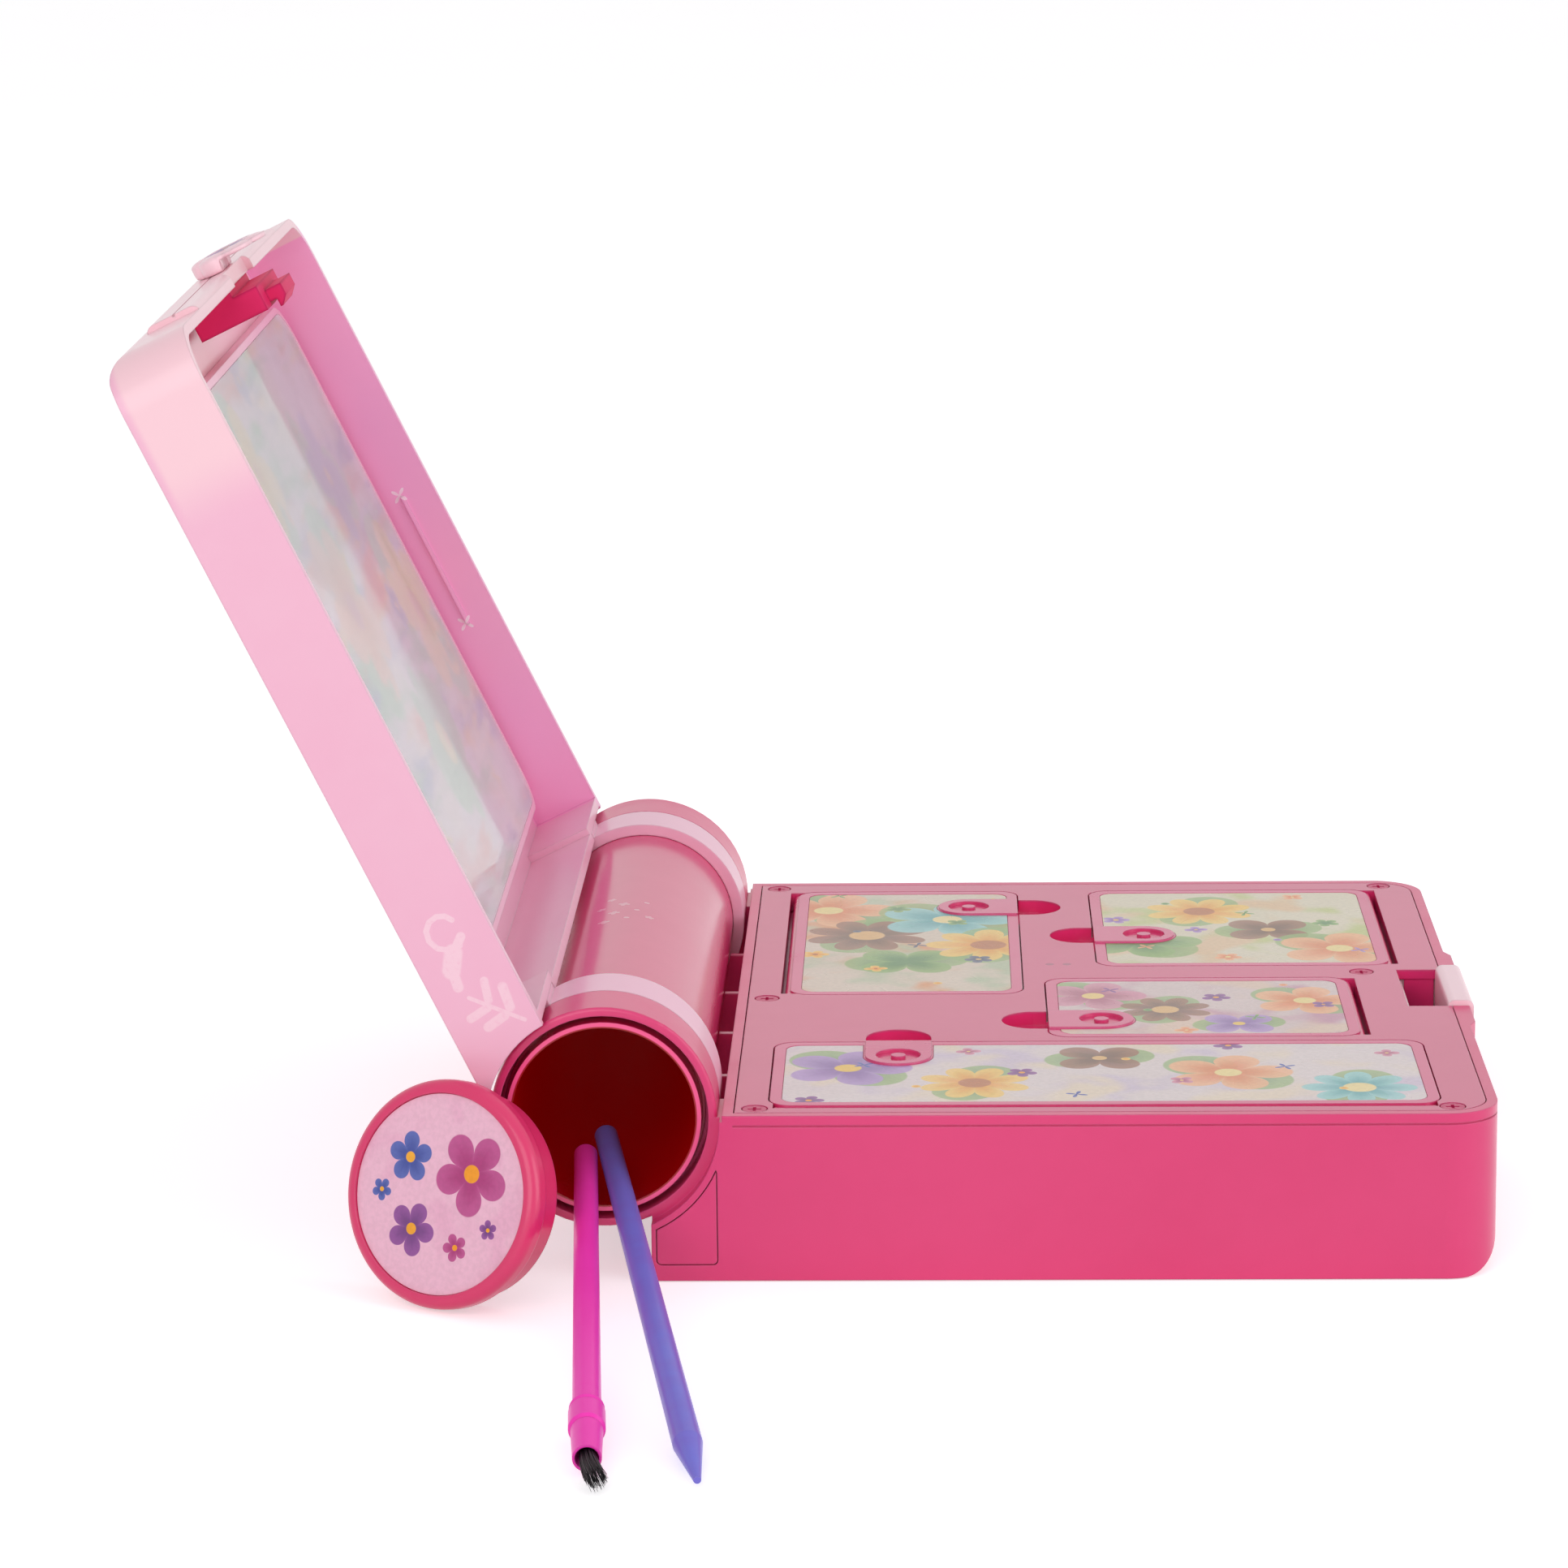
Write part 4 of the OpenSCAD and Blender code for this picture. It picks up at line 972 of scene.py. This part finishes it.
makeCamera(cameraLook)
makeStudio(studioLook)
for plastic, names in {
    "trayPink": ("tray_shell", "cradle_ribs", "cradle_covers"),
    "wellPink": ("well_back_left", "well_back_right", "well_middle", "well_front"),
    "capPink": ("tube_cap",),
    "lidPink": ("lid_rings", "panel_frame"),
    "palePink": ("release_button",),
    "hookPink": ("latch_hook",),
    "brushPink": ("brush_handle", "brush_ferrule"),
}.items():
    dress(mouldedPlastic(plastic), *names)
dress(mouldedPlastic("deckPink", ".recessed", deckFace), "deck_plate")
dress(
    mouldedPlastic("flapPink", ".recessed", flapFace), "flap_back_left", "flap_back_right", "flap_middle", "flap_front"
)
# the tube's finish holds painted shade, a painted glow and a painted highlight
dress(mouldedPlastic("tubePink", ".lined", borePaintedShadeAndGlow), "storage_tube", "tube_plug")
# the lid's finish holds print and painted light
dress(mouldedPlastic("lidPink", ".printed", lidPrintAndPaintedLight), "lid_shell")
for label in labelLooks:
    dress(flapLabel(label), label)
dress(capPrint(), "cap_label")
dress(claspPrint(), "clasp_label")
dress(cardPrint(), "picture_card")
dress(clearSheet(), "panel_window")
dress(violetPlastic(), "stylus")
dress(fineGrained("screwMetal"), "deck_screws")
dress(fineGrained("springSteel"), "button_spring")
print("case: finishes on the moulded pieces")


# soft flower over the lid's latch

flowerLook = {
    "petals": 6,
    "petalRadius": 4.0,  # millimetres
    "seat": 5.6,  # flat middle under the print
    "seatDrop": 0.17,
    "crease": 0.22,  # share of the thickness
    "creaseWidth": 8.0,  # degrees
    "rim": 0.7,  # where the swell ends, as a share of the thickness
    "least": 1.2,  # thickness kept over the relief
    "sectors": 144,
    "swell": (0.0, 0.12, 0.26, 0.4, 0.54, 0.68, 0.8, 0.89, 0.95, 0.985, 1.0),  # rings from the seat to the rim
    "under": ((1.0, 0.26), (0.985, 0.12), (0.95, 0.03)),  # rings below the rim: share of the reach and thickness
    "stemSides": 32,
}


def flowerSection(look, flat):  # heights and reach of the solid that the flower stands for
    outer = [point for point in flat if point.xy.length > look["seat"] + 0.5]
    top, foot = max(point.z for point in outer), min(point.z for point in outer)
    raised = [point for point in outer if foot + 1.5 < point.z < top - 0.3]  # where the latch passes under
    farthest = max(outer, key=lambda point: point.xy.length)
    return {
        "foot": foot,
        "thick": top - foot,
        "relief": min((point.z for point in raised), default=foot),
        "reliefEdge": min((point.y for point in raised), default=2 * farthest.xy.length) - 0.9,
        "spoke": farthest.xy.length - look["petalRadius"],
        "begin": math.atan2(farthest.y, farthest.x),
    }


def flowerSpoke(look, section, angle):  # points from the seat over the rim to the middle of the back
    petalStep = 2 * math.pi / look["petals"]
    aside = (angle - section["begin"] + petalStep / 2) % petalStep - petalStep / 2
    sideways = section["spoke"] * math.sin(aside)
    edge = section["spoke"] * math.cos(aside) + math.sqrt(look["petalRadius"] ** 2 - sideways ** 2)
    valley = math.exp(-((abs(aside) - petalStep / 2) / math.radians(look["creaseWidth"])) ** 2)
    seat, foot, thick = look["seat"], section["foot"], section["thick"]
    points = [(0.4, -look["seatDrop"]), (seat - 0.1, -look["seatDrop"]), (seat, 0.0)]
    for share in look["swell"]:
        away = seat + 0.15 + (edge - seat - 0.15) * share
        swell = look["rim"] + (1 - look["rim"]) * math.sqrt(1 - share ** 3)
        height = foot + thick * swell * (1 - look["crease"] * valley * min(1, 2.2 * share))
        if away * math.sin(angle) > section["reliefEdge"]:
            height = max(height, section["relief"] + look["least"])
        points.append((away, height))
    for ratio, lift in look["under"] + tuple((tenth / 10, 0.0) for tenth in range(9, 0, -1)):
        height = foot + thick * lift
        if edge * ratio * math.sin(angle) > section["reliefEdge"]:
            height = max(height, section["relief"] + 0.05)
        points.append((edge * ratio, height))
    return [Vector((away * math.cos(angle), away * math.sin(angle), height)) for away, height in points]


def addStem(mesh, look, flat, foot, centre, turn):
    stem = [point for point in flat if point.z < foot - 0.3]
    if not stem:
        return
    low = min(point.z for point in stem)
    middle = Vector(
        (min(point[axis] for point in stem) + max(point[axis] for point in stem)) / 2 for axis in (0, 1)
    )
    radius = max((point.xy - middle).length for point in stem) * mm
    place = Vector((middle.x, middle.y, (low + foot) / 2 + 0.4)) * mm
    bmesh.ops.create_cone(
        mesh, cap_ends=True, segments=look["stemSides"], radius1=radius, radius2=radius,
        depth=(foot + 0.8 - low) * mm, matrix=Matrix.Translation(centre + turn @ place) @ turn.to_4x4(),
    )


def makeFlower(look):
    centre, turn = planeOf("clasp_label")
    toFlat = turn.inverted()
    flat = [toFlat @ (vertex.co - centre) / mm for vertex in nodes["flower_clasp"].data.vertices]
    section = flowerSection(look, flat)
    count = look["sectors"]
    spokes = [flowerSpoke(look, section, sector * 2 * math.pi / count) for sector in range(count)]
    mesh = bmesh.new()
    grid = [[mesh.verts.new(centre + turn @ (place * mm)) for place in ring] for ring in zip(*spokes)]
    for first, last in zip(grid, grid[1:]):
        for sector in range(count):
            after = (sector + 1) % count
            mesh.faces.new((first[sector], last[sector], last[after], first[after]))
    mesh.faces.new(grid[0])
    mesh.faces.new(reversed(grid[-1]))
    addStem(mesh, look, flat, section["foot"], centre, turn)
    data = bpy.data.meshes.new("claspFlower")
    mesh.to_mesh(data)
    mesh.free()
    for face in data.polygons:
        face.use_smooth = len(face.vertices) == 4
    flower = bpy.data.objects.new("claspFlower", data)
    bpy.context.scene.collection.objects.link(flower)
    dress(mouldedPlastic("palePink", ".flower"), "claspFlower")
    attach(flower, "lid")
    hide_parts("flower_clasp")


makeFlower(flowerLook)
print("case: flower clasp made")


# bristles of the brush

bristleLook = {
    "count": 240,
    "rootRadius": 1.25,  # millimetres
    "hairRadius": 0.1,
    "reach": 12.0,  # past the root
    "splay": 0.11,  # radians
    "slant": (2.4, 0.5, 0.0),
    "seed": 4,
}


def bristleTree():
    tree = bpy.data.node_groups.new("bristleTuft", "GeometryNodeTree")
    for label, kind in {
        "Count": "Int", "Root Radius": "Float", "Hair Radius": "Float", "Reach": "Float",
        "Splay": "Float", "Slant": "Vector", "Seed": "Int", "Material": "Material",
    }.items():
        tree.interface.new_socket(name=label, in_out="INPUT", socket_type="NodeSocket" + kind)
    tree.interface.new_socket(name="Geometry", in_out="OUTPUT", socket_type="NodeSocketGeometry")
    start = tree.nodes.new("NodeGroupInput")
    end = tree.nodes.new("NodeGroupOutput")
    given = start.outputs

    def chance(low, high, offset, kind="FLOAT"):
        node = addNode(tree, "FunctionNodeRandomValue", data_type=kind)
        first = 0 if kind == "FLOAT_VECTOR" else 2
        feed(tree, node, first, low)
        feed(tree, node, first + 1, high)
        feed(tree, node, "Seed", calc(tree, "ADD", given["Seed"], offset))
        return node.outputs[0 if kind == "FLOAT_VECTOR" else 1]

    away = calc(tree, "MULTIPLY", calc(tree, "SQRT", chance(0.0, 1.0, 1)), given["Root Radius"])
    around = chance(0.0, 2 * math.pi, 2)
    across = calc(tree, "MULTIPLY", away, calc(tree, "COSINE", around))
    up = calc(tree, "MULTIPLY", away, calc(tree, "SINE", around))
    points = addNode(tree, "GeometryNodePoints")
    feed(tree, points, "Count", given["Count"])
    feed(tree, points, "Position", combine(tree, across, up))
    hair = addNode(tree, "GeometryNodeMeshCone")
    feed(tree, hair, "Vertices", 5)
    feed(tree, hair, "Side Segments", 5)
    feed(tree, hair, "Radius Top", calc(tree, "MULTIPLY", given["Hair Radius"], 0.45))
    feed(tree, hair, "Radius Bottom", given["Hair Radius"])
    feed(tree, hair, "Depth", given["Reach"])
    placed = addNode(tree, "GeometryNodeInstanceOnPoints")
    tree.links.new(points.outputs[0], placed.inputs["Points"])
    tree.links.new(hair.outputs["Mesh"], placed.inputs["Instance"])
    side = calc(tree, "DIVIDE", given["Splay"], given["Root Radius"])
    sideways = calc(tree, "MULTIPLY", calc(tree, "MULTIPLY", up, side), -1.0)
    feed(tree, placed, "Rotation", combine(tree, sideways, calc(tree, "MULTIPLY", across, side)))
    feed(tree, placed, "Scale", combine(tree, 1.0, 1.0, chance(0.84, 1.0, 3)))
    solid = addNode(tree, "GeometryNodeRealizeInstances")
    tree.links.new(placed.outputs[0], solid.inputs[0])
    height = split(tree, addNode(tree, "GeometryNodeInputPosition").outputs[0])[2]
    share = calc(tree, "MAXIMUM", calc(tree, "DIVIDE", height, given["Reach"]), 0.0)
    moved = addNode(tree, "GeometryNodeSetPosition")
    tree.links.new(solid.outputs[0], moved.inputs["Geometry"])
    feed(tree, moved, "Offset", scaled(tree, given["Slant"], calc(tree, "POWER", share, 2.0)))
    coloured = addNode(tree, "GeometryNodeSetMaterial")
    tree.links.new(moved.outputs[0], coloured.inputs["Geometry"])
    tree.links.new(given["Material"], coloured.inputs["Material"])
    tree.links.new(coloured.outputs[0], end.inputs[0])
    return tree


def growPiece(name, tree, values):  # runs a Geometry Nodes tree and keeps its plain mesh
    seedObject = bpy.data.objects.new(name + ".seed", bpy.data.meshes.new(name + ".seed"))
    bpy.context.scene.collection.objects.link(seedObject)
    modifier = seedObject.modifiers.new("grow", "NODES")
    modifier.node_group = tree
    for item in tree.interface.items_tree:
        if item.in_out == "INPUT" and item.name in values:
            modifier[item.identifier] = values[item.name]
    graph = bpy.context.evaluated_depsgraph_get()
    mesh = bpy.data.meshes.new_from_object(seedObject.evaluated_get(graph))
    bpy.data.objects.remove(seedObject)
    piece = bpy.data.objects.new(name, mesh)
    bpy.context.scene.collection.objects.link(piece)
    return piece


def middleOf(name):
    low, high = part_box(name)
    return (low + high) / 2


def makeBristles(look):
    tuft = growPiece("bristleTuft", bristleTree(), {
        "Count": look["count"], "Root Radius": look["rootRadius"] * mm, "Hair Radius": look["hairRadius"] * mm,
        "Reach": look["reach"] * mm, "Splay": look["splay"], "Slant": [part * mm for part in look["slant"]],
        "Seed": look["seed"], "Material": fineGrained("bristleHair"),
    })
    out = (middleOf("brush_bristles") - middleOf("brush_handle")).normalized()
    side = Vector((1, 0, 0)) - out * out.x
    side.normalize()
    turn = Matrix((side, out.cross(side), out)).transposed().to_4x4()
    ends = [vertex.co for vertex in nodes["brush_bristles"].data.vertices]
    root = min(ends, key=lambda point: point.dot(out))
    tip = max(ends, key=lambda point: point.dot(out))
    middle = middleOf("brush_bristles")
    start = middle + out * (root - middle).dot(out)
    reach = (tip - root).dot(out)
    scale = Matrix.Scale(reach / (look["reach"] * mm), 4, (0, 0, 1))
    tuft.data.transform(Matrix.Translation(start) @ turn @ scale)
    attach(tuft, "brush")
    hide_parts("brush_bristles")


makeBristles(bristleLook)
print("case: bristles grown")
